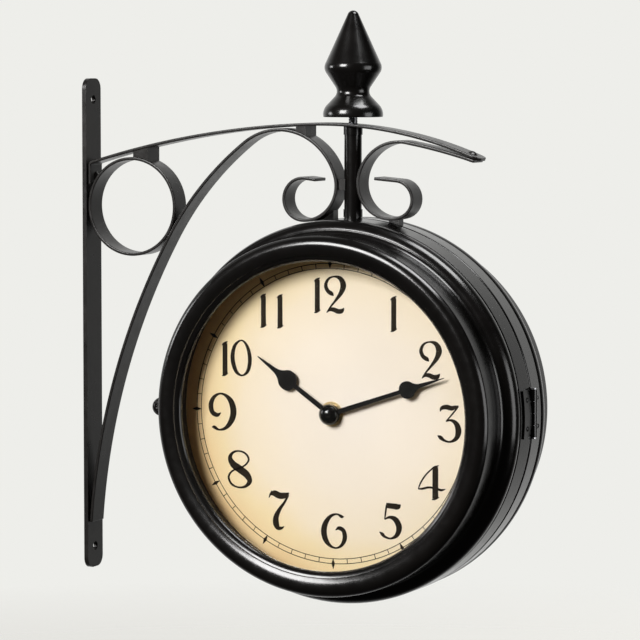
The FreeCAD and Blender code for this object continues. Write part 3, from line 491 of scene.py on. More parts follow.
def strip_surface(line: BentLine, width: np.ndarray | None = None, s: np.ndarray | None = None,
                  edge: float = 0.5, end: float = END_EDGE, least_edge: float = 0.12,
                  support: float = 0.45) -> Surface:
    """Flat strip carried along a bent line on its edge, with rolled edges and eased ends.

    Each section is a rectangle of half thickness T and half width W with corner radius e:
    corner points (+-(T - e) + e cos a, +-(W - e) + e sin a). Near an end, T, W and e shrink
    by end - sqrt(end^2 - (end - d)^2), d being the distance to that end.

    Args:
        line: Centre line.
        width: Half width at each sample, or none for the plain strip.
        s: Sampled lengths that go with width.
        edge: Radius of the long edges.
        end: Radius of the ends' edges.
        least_edge: Smallest radius of an edge where the section shrinks.
        support: Distance from an edge of the point that keeps the flat's shading flat.

    Returns:
        The surface.
    """
    s = line_samples(line, end) if s is None else s
    points, heading = line.at(s)
    reach = np.minimum(s, line.length - s)
    inner = np.clip(end - reach, 0.0, end)
    inset = (end - np.sqrt(np.maximum(end**2 - inner**2, 0.0)))[:, None]
    half_width = (np.full(len(s), STRIP_HALF_WIDTH) if width is None else width)[:, None] - inset
    half_thick = STRIP_HALF_THICK - inset
    e = np.maximum(edge - inset, least_edge)
    turn = np.radians(np.arange(0, 91, 18.0))
    angle = np.concatenate([turn, turn + math.pi / 2, turn + math.pi, turn + 1.5 * math.pi])
    half = 2 * len(turn)
    sign_t = np.repeat([1.0, -1.0, -1.0, 1.0], len(turn))
    sign_w = np.repeat([1.0, 1.0, -1.0, -1.0], len(turn))
    t = sign_t * (half_thick - e) + e * np.cos(angle)
    w = sign_w * (half_width - e) + e * np.sin(angle)
    column = np.r_[0, 0:half, half - 1, half, half:2 * half, 2 * half - 1]
    added = np.isin(np.arange(len(column)), [0, half + 1, half + 2, len(column) - 1])
    t, w = t[:, column], w[:, column] - np.where(added, sign_w[column] * support, 0.0)
    normal = np.stack([-np.sin(heading), np.cos(heading)], axis=1)
    x = points[:, :1] + normal[:, :1] * t
    z = points[:, 1:] + normal[:, 1:] * t
    made = Surface()
    made.add_grid(np.stack([x, w, z], axis=-1), wrap_v=True, caps=True)
    return made


def line_samples(line: BentLine, end: float = END_EDGE, step: float = 0.9) -> np.ndarray:
    """Lengths at which a strip is sampled: even steps, and closer ones at both ends.

    Args:
        line: Centre line.
        end: Radius of the ends' edges.
        step: Widest step between two samples.

    Returns:
        Growing lengths from 0 to the line's own.
    """
    near = end * (1.0 - np.cos(np.linspace(0.0, math.pi / 2, 6)))
    starts = line.runs()[0]
    even = np.linspace(end, line.length - end, max(8, int(line.length / step)))
    return np.unique(np.round(np.concatenate([near, even, line.length - near, starts]), 5))


# ------------------------------------------------------------------ finishes


class Desk:
    """Adds and joins nodes of one material, or of the surroundings."""

    def __init__(self, name: str, kind: str = "Material") -> None:
        """Starts an empty material or world with an output.

        Args:
            name: Its name.
            kind: Material or World.
        """
        self.owner = (bpy.data.materials if kind == "Material" else bpy.data.worlds).new(name)
        self.owner.use_nodes = True
        self.tree = self.owner.node_tree
        self.tree.nodes.clear()
        self.out = self.tree.nodes.new(f"ShaderNodeOutput{kind}")

    def node(self, kind: str, **values: object) -> bpy.types.Node:
        """Adds a node and sets its properties or inputs by name.

        Args:
            kind: Node type.
            **values: Property names, or input names with _ for blanks.

        Returns:
            The node.
        """
        made = self.tree.nodes.new(kind)
        for key, value in values.items():
            if hasattr(made, key):
                setattr(made, key, value)
            else:
                made.inputs[key.replace("_", " ")].default_value = value
        return made

    def join(self, source: Socket, target: Socket) -> None:
        """Links one socket to another."""
        self.tree.links.new(source, target)

    def object_place(self, centre: Triple = (0.0, 0.0, 0.0),
                     scale: Triple = (1.0, 1.0, 1.0)) -> Socket:
        """Object coordinates, moved and scaled by a Mapping node.

        Args:
            centre: Point in metres that becomes the pattern's origin.
            scale: Scale along each axis.

        Returns:
            Vector socket.
        """
        where = self.node("ShaderNodeTexCoord")
        moved = self.node("ShaderNodeMapping")
        moved.inputs["Location"].default_value = [-c * s for c, s in zip(centre, scale)]
        moved.inputs["Scale"].default_value = scale
        self.join(where.outputs["Object"], moved.inputs["Vector"])
        return moved.outputs["Vector"]

    def noise(self, place: Socket, scale: float, detail: float = 3.0) -> Socket:
        """Noise value, scale in cells to a metre.

        Args:
            place: Vector socket.
            scale: Cells to a metre.
            detail: Octaves.

        Returns:
            Value socket.
        """
        made = self.node("ShaderNodeTexNoise", Scale=scale, Detail=detail)
        self.join(place, made.inputs["Vector"])
        return made.outputs["Fac"]

    def spread(self, value: Socket, low: float, high: float, first: float = 0.3,
               last: float = 0.7) -> Socket:
        """Value mapped from first..last to low..high.

        Args:
            value: Value socket.
            low: Result at first.
            high: Result at last.
            first: Value that gives low.
            last: Value that gives high.

        Returns:
            Value socket.
        """
        made = self.node("ShaderNodeMapRange")
        for name, number in (("From Min", first), ("From Max", last), ("To Min", low), ("To Max", high)):
            made.inputs[name].default_value = number
        self.join(value, made.inputs["Value"])
        return made.outputs["Result"]

    def blend(self, share: Socket, low: Triple,
              high: Triple) -> Socket:
        """Colour between two, by a share from 0 to 1.

        Args:
            share: Value socket.
            low: Colour at 0.
            high: Colour at 1.

        Returns:
            Colour socket.
        """
        made = self.node("ShaderNodeMix", data_type="RGBA")
        sockets = [i for i in made.inputs if i.type == "RGBA"]
        sockets[0].default_value = (*low, 1.0)
        sockets[1].default_value = (*high, 1.0)
        self.join(share, made.inputs["Factor"])
        return [o for o in made.outputs if o.type == "RGBA"][0]

    def ramp(self, share: Socket, stops: list[tuple[float, Triple]]) -> Socket:
        """Colour looked up between stops.

        Args:
            share: Value socket from 0 to 1.
            stops: Growing positions, with the colour there.

        Returns:
            Colour socket.
        """
        made = self.node("ShaderNodeValToRGB")
        elements = made.color_ramp.elements
        for _ in stops[2:]:
            elements.new(0.5)
        for element, (position, colour) in zip(elements, stops):
            element.position, element.color = position, (*colour, 1.0)
        self.join(share, made.inputs["Fac"])
        return made.outputs["Color"]

    def scaled(self, value: Socket, factor: float, plus: Socket | float) -> Socket:
        """Value x factor + plus.

        Args:
            value: Value socket.
            factor: Number that it is multiplied by.
            plus: Number or value socket that is added.

        Returns:
            Value socket.
        """
        made = self.node("ShaderNodeMath", operation="MULTIPLY_ADD")
        made.inputs[1].default_value = factor
        self.join(value, made.inputs[0])
        if isinstance(plus, float):
            made.inputs[2].default_value = plus
        else:
            self.join(plus, made.inputs[2])
        return made.outputs[0]

    def distance(self, place: Socket) -> Socket:
        """Distance of a place from the pattern's origin.

        Args:
            place: Vector socket.

        Returns:
            Value socket.
        """
        made = self.node("ShaderNodeVectorMath", operation="LENGTH")
        self.join(place, made.inputs[0])
        return made.outputs["Value"]

    def mix(self, share: Socket, low: Socket, high: Socket) -> Socket:
        """Shader between two.

        Args:
            share: Value socket from 0 to 1.
            low: Shader at 0.
            high: Shader at 1.

        Returns:
            Shader socket.
        """
        made = self.node("ShaderNodeMixShader")
        for source, target in zip((share, low, high), made.inputs):
            self.join(source, target)
        return made.outputs[0]

    def bump(self, height: Socket, distance: float, strength: float = 1.0,
             below: Socket | None = None) -> Socket:
        """Bumped normal from a height.

        Args:
            height: Value socket.
            distance: Height of the bumps in metres.
            strength: Strength from 0 to 1.
            below: Normal to add to, or none.

        Returns:
            Vector socket.
        """
        made = self.node("ShaderNodeBump", Strength=strength, Distance=distance)
        self.join(height, made.inputs["Height"])
        if below is not None:
            self.join(below, made.inputs["Normal"])
        return made.outputs["Normal"]

    def principled(self, **values: object) -> bpy.types.Node:
        """Adds the main shader, sets its sockets and joins it to the output.

        Args:
            **values: Input names with _ for blanks.

        Returns:
            The shader node.
        """
        made = self.node("ShaderNodeBsdfPrincipled", **values)
        self.join(made.outputs["BSDF"], self.out.inputs["Surface"])
        return made


@dataclass(frozen=True)
class Enamel:
    """Sprayed enamel: faint colour mottle, orange peel and roughness that varies a little.

    Attributes:
        name: Name of the material.
        colour: Darker colour of the mottle.
        light: Lighter colour of the mottle.
        roughness: Lowest and highest roughness.
        peel: Cells of orange peel to a metre.
        depth: Height of the peel in metres.
        coat: Weight of the clear coat.
        mirror: Strength of the plain mirror part, 0.5 for common paint.
    """

    name: str
    colour: Triple
    light: Triple
    roughness: Pair
    peel: float
    depth: float
    coat: float = 0.0
    mirror: float = 0.5

    def build(self) -> bpy.types.Material:
        """Builds the material.

        Returns:
            The material.
        """
        desk = Desk(self.name)
        place = desk.object_place()
        cloud = desk.noise(place, 45.0)
        shader = desk.principled(Coat_Weight=self.coat, Coat_Roughness=0.04,
                                 Specular_IOR_Level=self.mirror)
        desk.join(desk.blend(desk.spread(cloud, 0.0, 1.0), self.colour, self.light),
                  shader.inputs["Base Color"])
        desk.join(desk.spread(desk.noise(place, 160.0), *self.roughness), shader.inputs["Roughness"])
        desk.join(desk.bump(desk.noise(place, self.peel, 2.0), self.depth), shader.inputs["Normal"])
        return desk.owner


@dataclass(frozen=True)
class DialPaint:
    """Aged cream paper under lacquer: pale middle, printed warm tan towards the rim, faint fibres. The pale
    middle sits off the dial's centre towards the viewer's right, so the left rim, where the bezel casts its
    shadow, is painted darker brown: painted shade.

    Attributes:
        name: Name of the material.
        centre: Middle of the pale area in metres; set off the dial's centre, so that painted shade falls on
            the far rim.
        stops: Distances from that middle in metres, with the paper's colour there; the stops past 0.1 m are
            reached only on the rim away from that middle, where they paint shade.
        mottle: How far the mottle shifts the colour, as a share of the last distance.
    """

    name: str
    centre: Triple
    stops: tuple[tuple[float, Triple], ...] = (
        (0.0, (0.955, 0.878, 0.775)), (0.050, (0.955, 0.86, 0.72)), (0.078, (0.94, 0.82, 0.62)),
        (0.096, (0.91, 0.745, 0.445)), (0.106, (0.885, 0.68, 0.375)), (0.118, (0.80, 0.55, 0.27)))
    mottle: float = 0.035

    def build(self) -> bpy.types.Material:
        """Builds the material: colour by distance from the off-centre pale middle, which paints shade on one
        rim, with a soft mottle.

        Returns:
            The material.
        """
        desk = Desk(self.name)
        place = desk.object_place(self.centre, (1.0, 0.0, 1.0))
        reach = self.stops[-1][0]
        place3 = desk.object_place()
        cloud = desk.spread(desk.noise(place3, 28.0, 4.0), -self.mottle, self.mottle)
        share = desk.scaled(desk.distance(place), 1.0 / reach, cloud)
        colour = desk.ramp(share, [(distance / reach, tint) for distance, tint in self.stops])
        shader = desk.principled(Specular_IOR_Level=0.35)
        desk.join(colour, shader.inputs["Base Color"])
        desk.join(desk.spread(desk.noise(place3, 300.0), 0.46, 0.58), shader.inputs["Roughness"])
        desk.join(desk.bump(desk.noise(place3, 1400.0), 0.00002), shader.inputs["Normal"])
        return desk.owner


@dataclass(frozen=True)
class Metal:
    """Bare metal drawn or turned along one direction.

    Attributes:
        name: Name of the material.
        colour: Darker colour.
        light: Lighter colour.
        roughness: Lowest and highest roughness.
        grain: Cells to a metre along X, Y and Z; a low number is along the grain.
    """

    name: str
    colour: Triple
    light: Triple
    roughness: Pair = (0.24, 0.4)
    grain: Triple = (1500.0, 1500.0, 60.0)

    def build(self) -> bpy.types.Material:
        """Builds the material.

        Returns:
            The material.
        """
        desk = Desk(self.name)
        lines = desk.noise(desk.object_place(scale=self.grain), 1.0, 4.0)
        shader = desk.principled(Metallic=1.0)
        desk.join(desk.blend(desk.spread(lines, 0.0, 1.0), self.colour, self.light),
                  shader.inputs["Base Color"])
        desk.join(desk.spread(lines, *self.roughness), shader.inputs["Roughness"])
        desk.join(desk.bump(lines, 0.00002, 0.6), shader.inputs["Normal"])
        return desk.owner


@dataclass(frozen=True)
class Pane:
    """Flat clear glass that mirrors a little and lets the rest through, with faint dust."""

    name: str = "ClearPane"

    def build(self) -> bpy.types.Material:
        """Builds the material.

        Returns:
            The material.
        """
        desk = Desk(self.name)
        shader = desk.principled(Metallic=1.0, Base_Color=(0.93, 0.96, 0.95, 1.0))
        place = desk.object_place()
        desk.join(desk.spread(desk.noise(place, 35.0), 0.02, 0.045), shader.inputs["Roughness"])
        desk.join(desk.spread(desk.noise(place, 12.0), 0.035, 0.055), shader.inputs["Alpha"])
        return desk.owner


@dataclass(frozen=True)
class CellWrap:
    """Printed jacket of a dry cell: dark wrap with a copper coloured shoulder and bare ends."""

    name: str
    shoulder_x: float

    def build(self) -> bpy.types.Material:
        """Builds the material: the colour changes at one place along the cell's length.

        Returns:
            The material.
        """
        desk = Desk(self.name)
        place = desk.object_place((self.shoulder_x, 0.0, 0.0))
        split = desk.node("ShaderNodeSeparateXYZ")
        desk.join(place, split.inputs[0])
        share = desk.spread(split.outputs["X"], 0.0, 1.0, -0.0002, 0.0002)
        shader = desk.principled(Metallic=0.4)
        desk.join(desk.blend(share, (0.02, 0.022, 0.026), (0.42, 0.2, 0.08)), shader.inputs["Base Color"])
        desk.join(desk.spread(desk.noise(place, 400.0), 0.28, 0.36), shader.inputs["Roughness"])
        desk.join(desk.bump(desk.noise(place, 900.0), 0.00002), shader.inputs["Normal"])
        return desk.owner


class Finishes:
    """Every finish of the clock, built once."""

    def __init__(self) -> None:
        """Builds the materials that the pieces share."""
        self.gloss = Enamel("GlossBlackEnamel", (0.0040, 0.0036, 0.0034), (0.0062, 0.0056, 0.0052),
                            (0.17, 0.23), 300.0, 0.000005, 0.04).build()
        self.satin = Enamel("SatinBlackEnamel", (0.0080, 0.0072, 0.0066), (0.0135, 0.0122, 0.0112),
                            (0.27, 0.36), 1500.0, 0.00002).build()
        self.hands = Enamel("HandLacquer", (0.0045, 0.0042, 0.0038), (0.0075, 0.007, 0.0065),
                            (0.30, 0.38), 900.0, 0.00001, mirror=0.25).build()
        self.ink = Enamel("PrintersInk", (0.013, 0.0085, 0.0042), (0.021, 0.0145, 0.008),
                          (0.55, 0.65), 1800.0, 0.00001, mirror=0.12).build()
        self.band = Enamel("RimBandPaint", (0.022, 0.019, 0.017), (0.034, 0.029, 0.026),
                           (0.42, 0.5), 900.0, 0.00001).build()
        self.plastic = Enamel("MouldedBlack", (0.02, 0.02, 0.021), (0.03, 0.03, 0.031),
                              (0.5, 0.62), 2600.0, 0.00004).build()
        self.steel = Metal("ZincSteel", (0.42, 0.43, 0.45), (0.62, 0.62, 0.63)).build()
        self.sheet = Metal("ZincSheet", (0.74, 0.74, 0.73), (0.82, 0.82, 0.80), (0.48, 0.56),
                           (2600.0, 2600.0, 2600.0)).build()
        self.brass = Metal("TurnedBrass", (0.80, 0.60, 0.30), (0.90, 0.72, 0.42),
                           (0.30, 0.40), (5000.0, 400.0, 5000.0)).build()
        self.nut = Enamel("PolishedNutLacquer", (0.0045, 0.0042, 0.0040), (0.0065, 0.006, 0.0058),
                          (0.14, 0.2), 900.0, 0.000006, 0.2, 0.4).build()
        self.pane = Pane().build()
        # The pale middle of each dial's paint sits 18 mm towards that dial's right and 3 mm up, so its left
        # rim is painted darker: painted shade where the bezel's shadow falls.
        shade_shift_x, shade_shift_z, shoulder = 18.0, 3.0, 12.0
        self.dial, self.cell = {}, {}
        for side in Side:
            word = side.name.title()
            pale = ((DRUM_X + side.value * shade_shift_x) * MM, 0.0, (DRUM_Z + shade_shift_z) * MM)
            self.dial[side] = DialPaint(f"{word}DialPaper", pale).build()
            self.cell[side] = CellWrap(f"{word}CellJacket", (DRUM_X + side.value * shoulder) * MM).build()


def dress(piece: bpy.types.Object, material: bpy.types.Material) -> None:
    """Gives all of a piece one material."""
    piece.data.materials.clear()
    piece.data.materials.append(material)


def seat(piece: bpy.types.Object, body: str, slot: str, material: bpy.types.Material,
         *nodes: str) -> bpy.types.Object:
    """Dresses a new piece, lets it ride on its body and hides the nodes it stands for.

    Args:
        piece: The new piece.
        body: CAD body that carries it.
        slot: Name of the material slot; not used.
        material: Its finish.
        *nodes: CAD nodes that it replaces.

    Returns:
        The piece.
    """
    dress(piece, material)
    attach(piece, body)
    if nodes:
        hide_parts(*nodes)
    LOG.info("%s rides on %s: %d faces", piece.name, body, len(piece.data.polygons))
    return piece


# ------------------------------------------------------------------ bracket


@dataclass
class Bracket:
    """Bent strips of the wall bracket: arm, ring, brace with the left scroll, right scroll.

    Attributes:
        brace: Centre line of the brace and the left scroll.
        tip_scroll: Centre line of the right scroll.
        ring_centre: Centre of the ring (x, z).
        ring_radius: Outer radius of the ring.
        ring_edge: Radius of the ring's edges.
        arm: The arm without its tab.
        arm_bend: Length of the first arc that the bend into the tab takes up.
        tab_foot: Lower end of the arm's tab.
        arm_end_radius: Corner radius of the arm's free end.
    """

    brace: BentLine = BentLine(
        (BAR_THICK + STRIP_HALF_THICK, -132.0), 85.6,
        ((455.0, -25.4), (207.0, -23.3), (41.0, -108.7), (22.5, -112.9), (13.5, -182.3)), 7.5)
    tip_scroll: BentLine = BentLine(
        (277.2, 111.5), 162.7, ((370.0, 7.4), (28.0, 87.2), (22.0, 122.0), (11.8, 156.0)), 15.0)
    ring_centre: Pair = (35.5, 78.9)
    ring_radius: float = 32.5
    ring_edge: float = 0.5
    arm: BentLine = BentLine((BAR_THICK, 106.8), 17.0, ((627.0, -14.9), (276.0, -24.9)))
    arm_bend: float = 2.52
    tab_foot: float = 92.8
    arm_end_radius: float = 5.0

    def arm_line(self) -> BentLine:
        """Arm's centre line: up the tab, a tight bend, then the two long arcs.

        Returns:
            The line; the bend ends on the first long arc with its direction.
        """
        (radius, sweep), last_arc = self.arm.arcs
        (end,), (heading,) = self.arm.at(np.array([self.arm_bend]))
        tab_x = BAR_THICK + STRIP_HALF_THICK
        turn = math.pi / 2 - heading
        tight = (end[0] - tab_x) / (1.0 - math.cos(turn))
        bend_z = end[1] - tight * math.sin(turn)
        rest = (radius, sweep + math.degrees(self.arm_bend / radius))
        return BentLine((tab_x, self.tab_foot), 90.0, ((tight, -math.degrees(turn)), rest, last_arc), 0.0,
                        bend_z - self.tab_foot)

    def build_arm(self) -> Surface:
        """Arm with its tab; its half width follows a quarter circle at each free corner.

        Returns:
            The surface.
        """
        line = self.arm_line()
        r = self.arm_end_radius
        corner = line.length - r * (1.0 - np.cos(np.linspace(0, math.pi / 2, 12)))
        s = np.unique(np.concatenate([line_samples(line), corner]))
        gap = np.clip(r - (line.length - s), 0.0, r)
        width = STRIP_HALF_WIDTH - r + np.sqrt(np.maximum(r**2 - gap**2, 0.0))
        return strip_surface(line, width=width, s=s)

    def build_ring(self) -> Surface:
        """Ring: a rounded rectangle turned about the Y line through the ring's centre.

        Returns:
            The surface.
        """
        outer, inner, w = self.ring_radius, self.ring_radius - 2.0 * STRIP_HALF_THICK, STRIP_HALF_WIDTH
        corners = np.array([(outer, -w), (outer, w), (inner, w), (inner, -w)])
        section = supported(rounded(corners, self.ring_edge))
        return turned(section, (self.ring_centre[0], 0.0, self.ring_centre[1]), BACK, RIGHT, 168)

    def build(self, finishes: Finishes) -> None:
        """Builds and dresses the four strips.

        Args:
            finishes: The clock's finishes.
        """
        made = {"arm": self.build_arm(), "bracket_ring": self.build_ring(),
                "brace_scroll": strip_surface(self.brace), "tip_scroll": strip_surface(self.tip_scroll)}
        for node, surface in made.items():
            seat(surface.piece(f"bent_{node}"), "bracket", "satin_paint", finishes.satin, node)


@dataclass
class Finial:
    """Turned finial and the threaded rod that shows under it.

    Attributes:
        height: Height of the finial above its foot.
        bore: Radius of the bore for the rod.
        rod_radius: Crest radius of the rod's thread.
        pitch: Pitch of the thread.
        thread: Depth of the thread as a share of the rod's radius.
        chamfer: Length over which the rod's ends are eased, and by what share of its radius.
        tip: Radius and height of the ball tip's foot.
    """

    height: float = 67.6
    bore: float = 3.06
    rod_radius: float = 3.0
    pitch: float = 1.0
    thread: float = 0.16
    chamfer: Pair = (0.6, 0.1)
    tip: Pair = (3.6, 65.0)

    def outline(self) -> np.ndarray:
        """Finial outline from the bore up to the tip, as rows of radius and height.

        Returns:
            Foot, shoulder, neck, belly and long cone, with a ball tip.
        """
        tip_r, tip_z = self.tip
        ball_z = self.height - ball_radius(tip_r, self.height - tip_z)
        tip = arc_points((0.0, ball_z), self.height - ball_z,
                         math.degrees(math.atan2(tip_z - ball_z, tip_r)), 90.0, 12)
        bore = np.array([(0.0, 30.0), (self.bore, 30.0), (self.bore, 0.0)])
        foot = rounded(np.array([(self.bore, 0.0), (19.05, 0.0), (19.1, 0.8)]), (0, 0.5, 0), False)
        shoulder = arc_through((19.1, 0.8), (18.6, 4.6), (16.4, 8.0), 18)
        neck = arc_through((11.7, 13.0), (10.4, 16.2), (11.3, 19.2), 18)
        belly = arc_through((16.9, 27.6), (18.2, 31.0), (17.4, 34.6), 22)
        return without_repeats(np.concatenate([bore, foot, shoulder, neck, belly, tip]), False)

    def build_rod(self) -> Surface:
        """Rod with a running thread: r = crest - depth |2 frac(z / pitch - a / turn) - 1|.

        Returns:
            The surface.
        """
        low, high = (v.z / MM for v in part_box("threaded_rod"))
        z = np.linspace(low, high, int((high - low) / self.pitch * 8))
        a = np.linspace(0.0, 1.0, 48, endpoint=False)
        wave = np.abs(2.0 * np.mod(z[:, None] / self.pitch - a[None, :], 1.0) - 1.0)
        length, depth = self.chamfer
        ease = np.clip(np.minimum(z - low, high - z) / length, 0.0, 1.0)[:, None]
        swell = 1.0 - self.thread * wave * ease - depth * (1.0 - ease)
        profile = np.stack([np.full(len(z), self.rod_radius), z], axis=1)
        grid = lathe(profile, (DRUM_X, 0, 0), UP, RIGHT, len(a), swell)
        made = Surface()
        made.add_grid(grid, wrap_v=True, caps=True)
        return made

    def build(self, finishes: Finishes) -> None:
        """Builds and dresses the finial and the rod.

        Args:
            finishes: The clock's finishes.
        """
        profile = supported(self.outline(), False, 0.3)
        surface = turned(profile, (DRUM_X, 0, FINIAL_Z), UP, RIGHT, 160, False)
        seat(surface.piece("turned_finial", 28.0), "finial", "gloss_paint", finishes.gloss, "finial")
        seat(self.build_rod().piece("threaded_stud", 60.0), "bracket", "steel", finishes.steel,
             "threaded_rod")


# ------------------------------------------------------------------ drum


@dataclass
class CaseHalf:
    """One pressed half of the drum.

    Attributes:
        side: Front or rear.
        segments: Steps round the drum's axis.
        sharp: Angle in degrees past which an edge stays sharp.
        post_hole: Radius of the post's opening in the front half and in the rear half.
        rim: Distances from the drum's axis between which that opening is cut.
        hinge_hole: Radius, lower end and upper end of the hinge's opening.
        screw_hole: Radius, inner end and outer end of the screw's opening.
    """

    side: Side
    segments: int = 288
    sharp: float = 24.0
    post_hole: Pair = (6.3, 5.6)
    rim: Pair = (100.0, 130.0)
    hinge_hole: Triple = (3.2, -13.4, 19.4)
    screw_hole: Triple = (2.2, 110.0, 130.0)

    def outline(self) -> np.ndarray:
        """Section through the wall as rows of radius and distance t from the middle plane.

        Returns:
            Rolled seam edge, band, groove, bead, cove, crowned bezel with a fine step, and the
            inner wall.
        """
        roll = arc_points((120.6, 1.9), 1.6, -90, 0, 10)
        step = rounded(np.array([(122.2, 1.9), (121.6, 17.2), (120.6, 17.7), (121.21, 18.25)]),
                       (0, 0.3, 0.2, 0), False, 4)
        bead = arc_points((113.9, 21.5), 8.0, -24, 74, 30)
        cove = arc_points((117.2, 33.04), 4.0, 254, 180, 18)
        crown = arc_points((107.4, 49.895), 6.105, 18.18, 90.0, 20)
        face = arc_points((107.4, 42.437), 13.563, 90.0, 117.2, 12)
        lens = arc_through((100.9, 53.7), (98.6, 52.5), (97.3, 50.6), 12)
        inner = np.array([(97.3, 49.5), (104.5, 49.5), (111.8, 53.0), (111.8, 28.0), (120.4, 18.5),
                          (120.4, 0.3)])
        whole = np.concatenate([roll, step, bead, cove, crown, face, lens, inner])
        return supported(without_repeats(whole, True))

    def cutters(self) -> list[bpy.types.Object]:
        """Shapes that leave the post's, the hinge's and the screw's openings.

        Returns:
            Closed cutting shapes.
        """
        post = self.post_hole[0 if self.side is Side.FRONT else 1]
        rods = {
            "post_cutter": ((DRUM_X, 0.0, DRUM_Z), UP, RIGHT, post, *self.rim),
            "hinge_cutter": ((DRUM_X + HINGE_DISTANCE, 0.0, DRUM_Z), UP, RIGHT, *self.hinge_hole),
        }
        if self.side is Side.REAR:
            rods["screw_cutter"] = ((DRUM_X, SCREW_Y, SCREW_Z), LEFT, BACK, *self.screw_hole)
        made = []
        for name, (origin, axis, start, radius, low, high) in rods.items():
            profile = np.array([(0, low), (radius, low), (radius, high), (0, high)], float)
            made.append(turned(profile, origin, axis, start, 64, False).piece(f"{name}_{self.side.word}"))
        return made

    def build(self, finishes: Finishes) -> None:
        """Builds, cuts and dresses the half.

        Args:
            finishes: The clock's finishes.
        """
        profile = self.outline()
        profile[:, 1] *= -self.side.value
        shell = turned(profile, (DRUM_X, 0.0, DRUM_Z), BACK, RIGHT, self.segments)
        piece = shell.piece(f"pressed_{self.side.word}_case", self.sharp)
        cut(piece, self.cutters(), self.sharp)
        seat(piece, self.side.body, "gloss_paint", finishes.gloss, f"{self.side.word}_shell")


# Numerals on a body 100 units tall: strokes of x, y and half width; "o" marks a closed stroke.
BODY_HEIGHT = 100.0
BODY_MIDDLE = 48.0
STEM = (("-", (10, 3, 6.2), (10, 40, 6.0), (10, 88, 6.0)),
        ("-", (0.5, 83, 1.0), (6, 86.5, 2.8), (12, 90, 2.6), (18, 93.5, 0.8)),
        ("-", (1, -1.5, 1.0), (7, 1.2, 2.8), (13, 4, 2.6), (19.5, 7, 0.8)))
SIX_WIDTH = 76.0
SIX = (("-", (68, 88, 0.8), (62, 87.5, 3.4), (48, 93.5, 2.0), (30, 88, 3.6), (14, 68, 6.0), (8.5, 45, 7.0),
        (15, 20, 6.0), (30, 5, 3.2), (46, 1.5, 2.0), (62, 11, 3.8), (70.5, 31, 5.4), (66, 50, 5.0),
        (53, 56, 4.2), (43, 50, 0.8)),)
NUMERAL_STROKES: dict[str, tuple] = {
    "0": (("o", (31, 98, 1.8), (14, 86, 3.6), (5.5, 60, 5.0), (7.5, 34, 5.2), (18, 10, 4.0), (34, 2, 2.0),
           (50, 13, 3.8), (57.5, 42, 4.8), (53, 74, 4.2), (42, 93, 2.6), (31, 98, 1.8)),),
    "1": STEM,
    "2": (("-", (30, 46, 0.8), (25, 51, 4.4), (13, 59, 4.6), (7, 74, 4.2), (15, 91, 2.8), (32, 98, 2.0),
           (50, 93, 5.2), (58.5, 76, 7.0), (53, 57, 5.4), (37, 35, 3.0), (21, 16, 2.0), (11, 2, 1.2)),
          ("-", (9.5, 0, 0.8), (19, 8.5, 3.6), (30, 9, 5.0), (44, 4.5, 5.4), (54, 6.5, 5.0), (61, 14, 1.2))),
    "3": (("-", (8, 82, 0.8), (12, 91, 3.8), (25, 95, 5.2), (41, 92.5, 5.2), (53, 96.5, 3.4),
           (61, 99.5, 1.0)),
          ("-", (59.5, 97.5, 1.8), (43, 77, 1.8), (25, 57, 1.2)),
          ("-", (24.5, 56.5, 1.2), (38, 60.5, 2.6), (53, 53, 5.4), (60.5, 34, 7.0), (54, 13, 4.8),
           (36, 3, 2.2), (19, 6.5, 3.0), (9, 13.5, 4.4), (0.5, 18, 0.8))),
    "4": (("-", (50, 3, 7.0), (50, 45, 6.8), (50, 91, 6.8)),
          ("-", (38, 86, 1.0), (47, 90.5, 3.0), (60, 97, 0.8)),
          ("-", (40, -1.5, 1.0), (49, 2, 3.0), (61.5, 7, 0.8)),
          ("-", (43, 89, 1.6), (25, 71, 1.8), (9, 47, 1.8), (1, 27, 1.2)),
          ("-", (1, 27, 1.2), (12, 28, 2.4), (31, 33, 2.4), (52, 31, 2.6), (67, 27.5, 2.6), (79, 31, 0.8))),
    "5": (("-", (19, 90.5, 5.8), (38, 89.5, 6.2), (54, 89.5, 6.0), (61, 95, 1.2)),
          ("-", (20.5, 92, 2.0), (17.5, 72, 2.0), (15, 53, 1.4)),
          ("-", (14.5, 52.5, 1.2), (29, 59, 3.2), (46, 54, 6.2), (56.5, 34, 7.0), (50, 12, 4.8),
           (32, 2, 2.2), (15, 6, 3.0), (8, 12, 4.0), (-0.5, 18, 0.8))),
    "6": SIX,
    "7": (("-", (0.5, 85, 0.8), (5, 95, 2.2), (9, 105, 0.8)),
          ("-", (6, 96, 3.0), (17, 98, 6.8), (34, 92.5, 7.2), (50, 95, 6.0), (61, 101.5, 1.6)),
          ("-", (59, 96, 2.6), (48, 76, 2.8), (32, 54, 4.4), (22, 32, 6.6), (22.5, 14, 7.4), (29, 4, 5.0),
           (39, 4.5, 3.0), (46.5, 9, 0.8))),
    "8": (("o", (31, 101, 1.8), (14, 95, 2.8), (7, 81, 4.8), (15, 64.5, 7.2), (35, 50.5, 8.0),
           (54, 36.5, 7.4), (61.5, 20, 5.4), (50, 5, 3.0), (31, 1, 1.9), (11, 9, 2.4), (3, 28, 2.4),
           (12, 44, 1.9), (35, 55, 1.7), (51, 65, 1.9), (59, 80, 2.2), (50, 95, 2.2), (31, 101, 1.8)),),
    "9": tuple((kind, *((SIX_WIDTH - x, 2 * BODY_MIDDLE - y, w) for x, y, w in knots))
               for kind, *knots in SIX),
}
NUMERAL_WIDTHS = {"0": 62.0, "1": 20.0, "2": 66.0, "3": 67.0, "4": 79.0, "5": 65.0, "6": SIX_WIDTH,
                  "7": 61.0, "8": 68.0, "9": SIX_WIDTH}


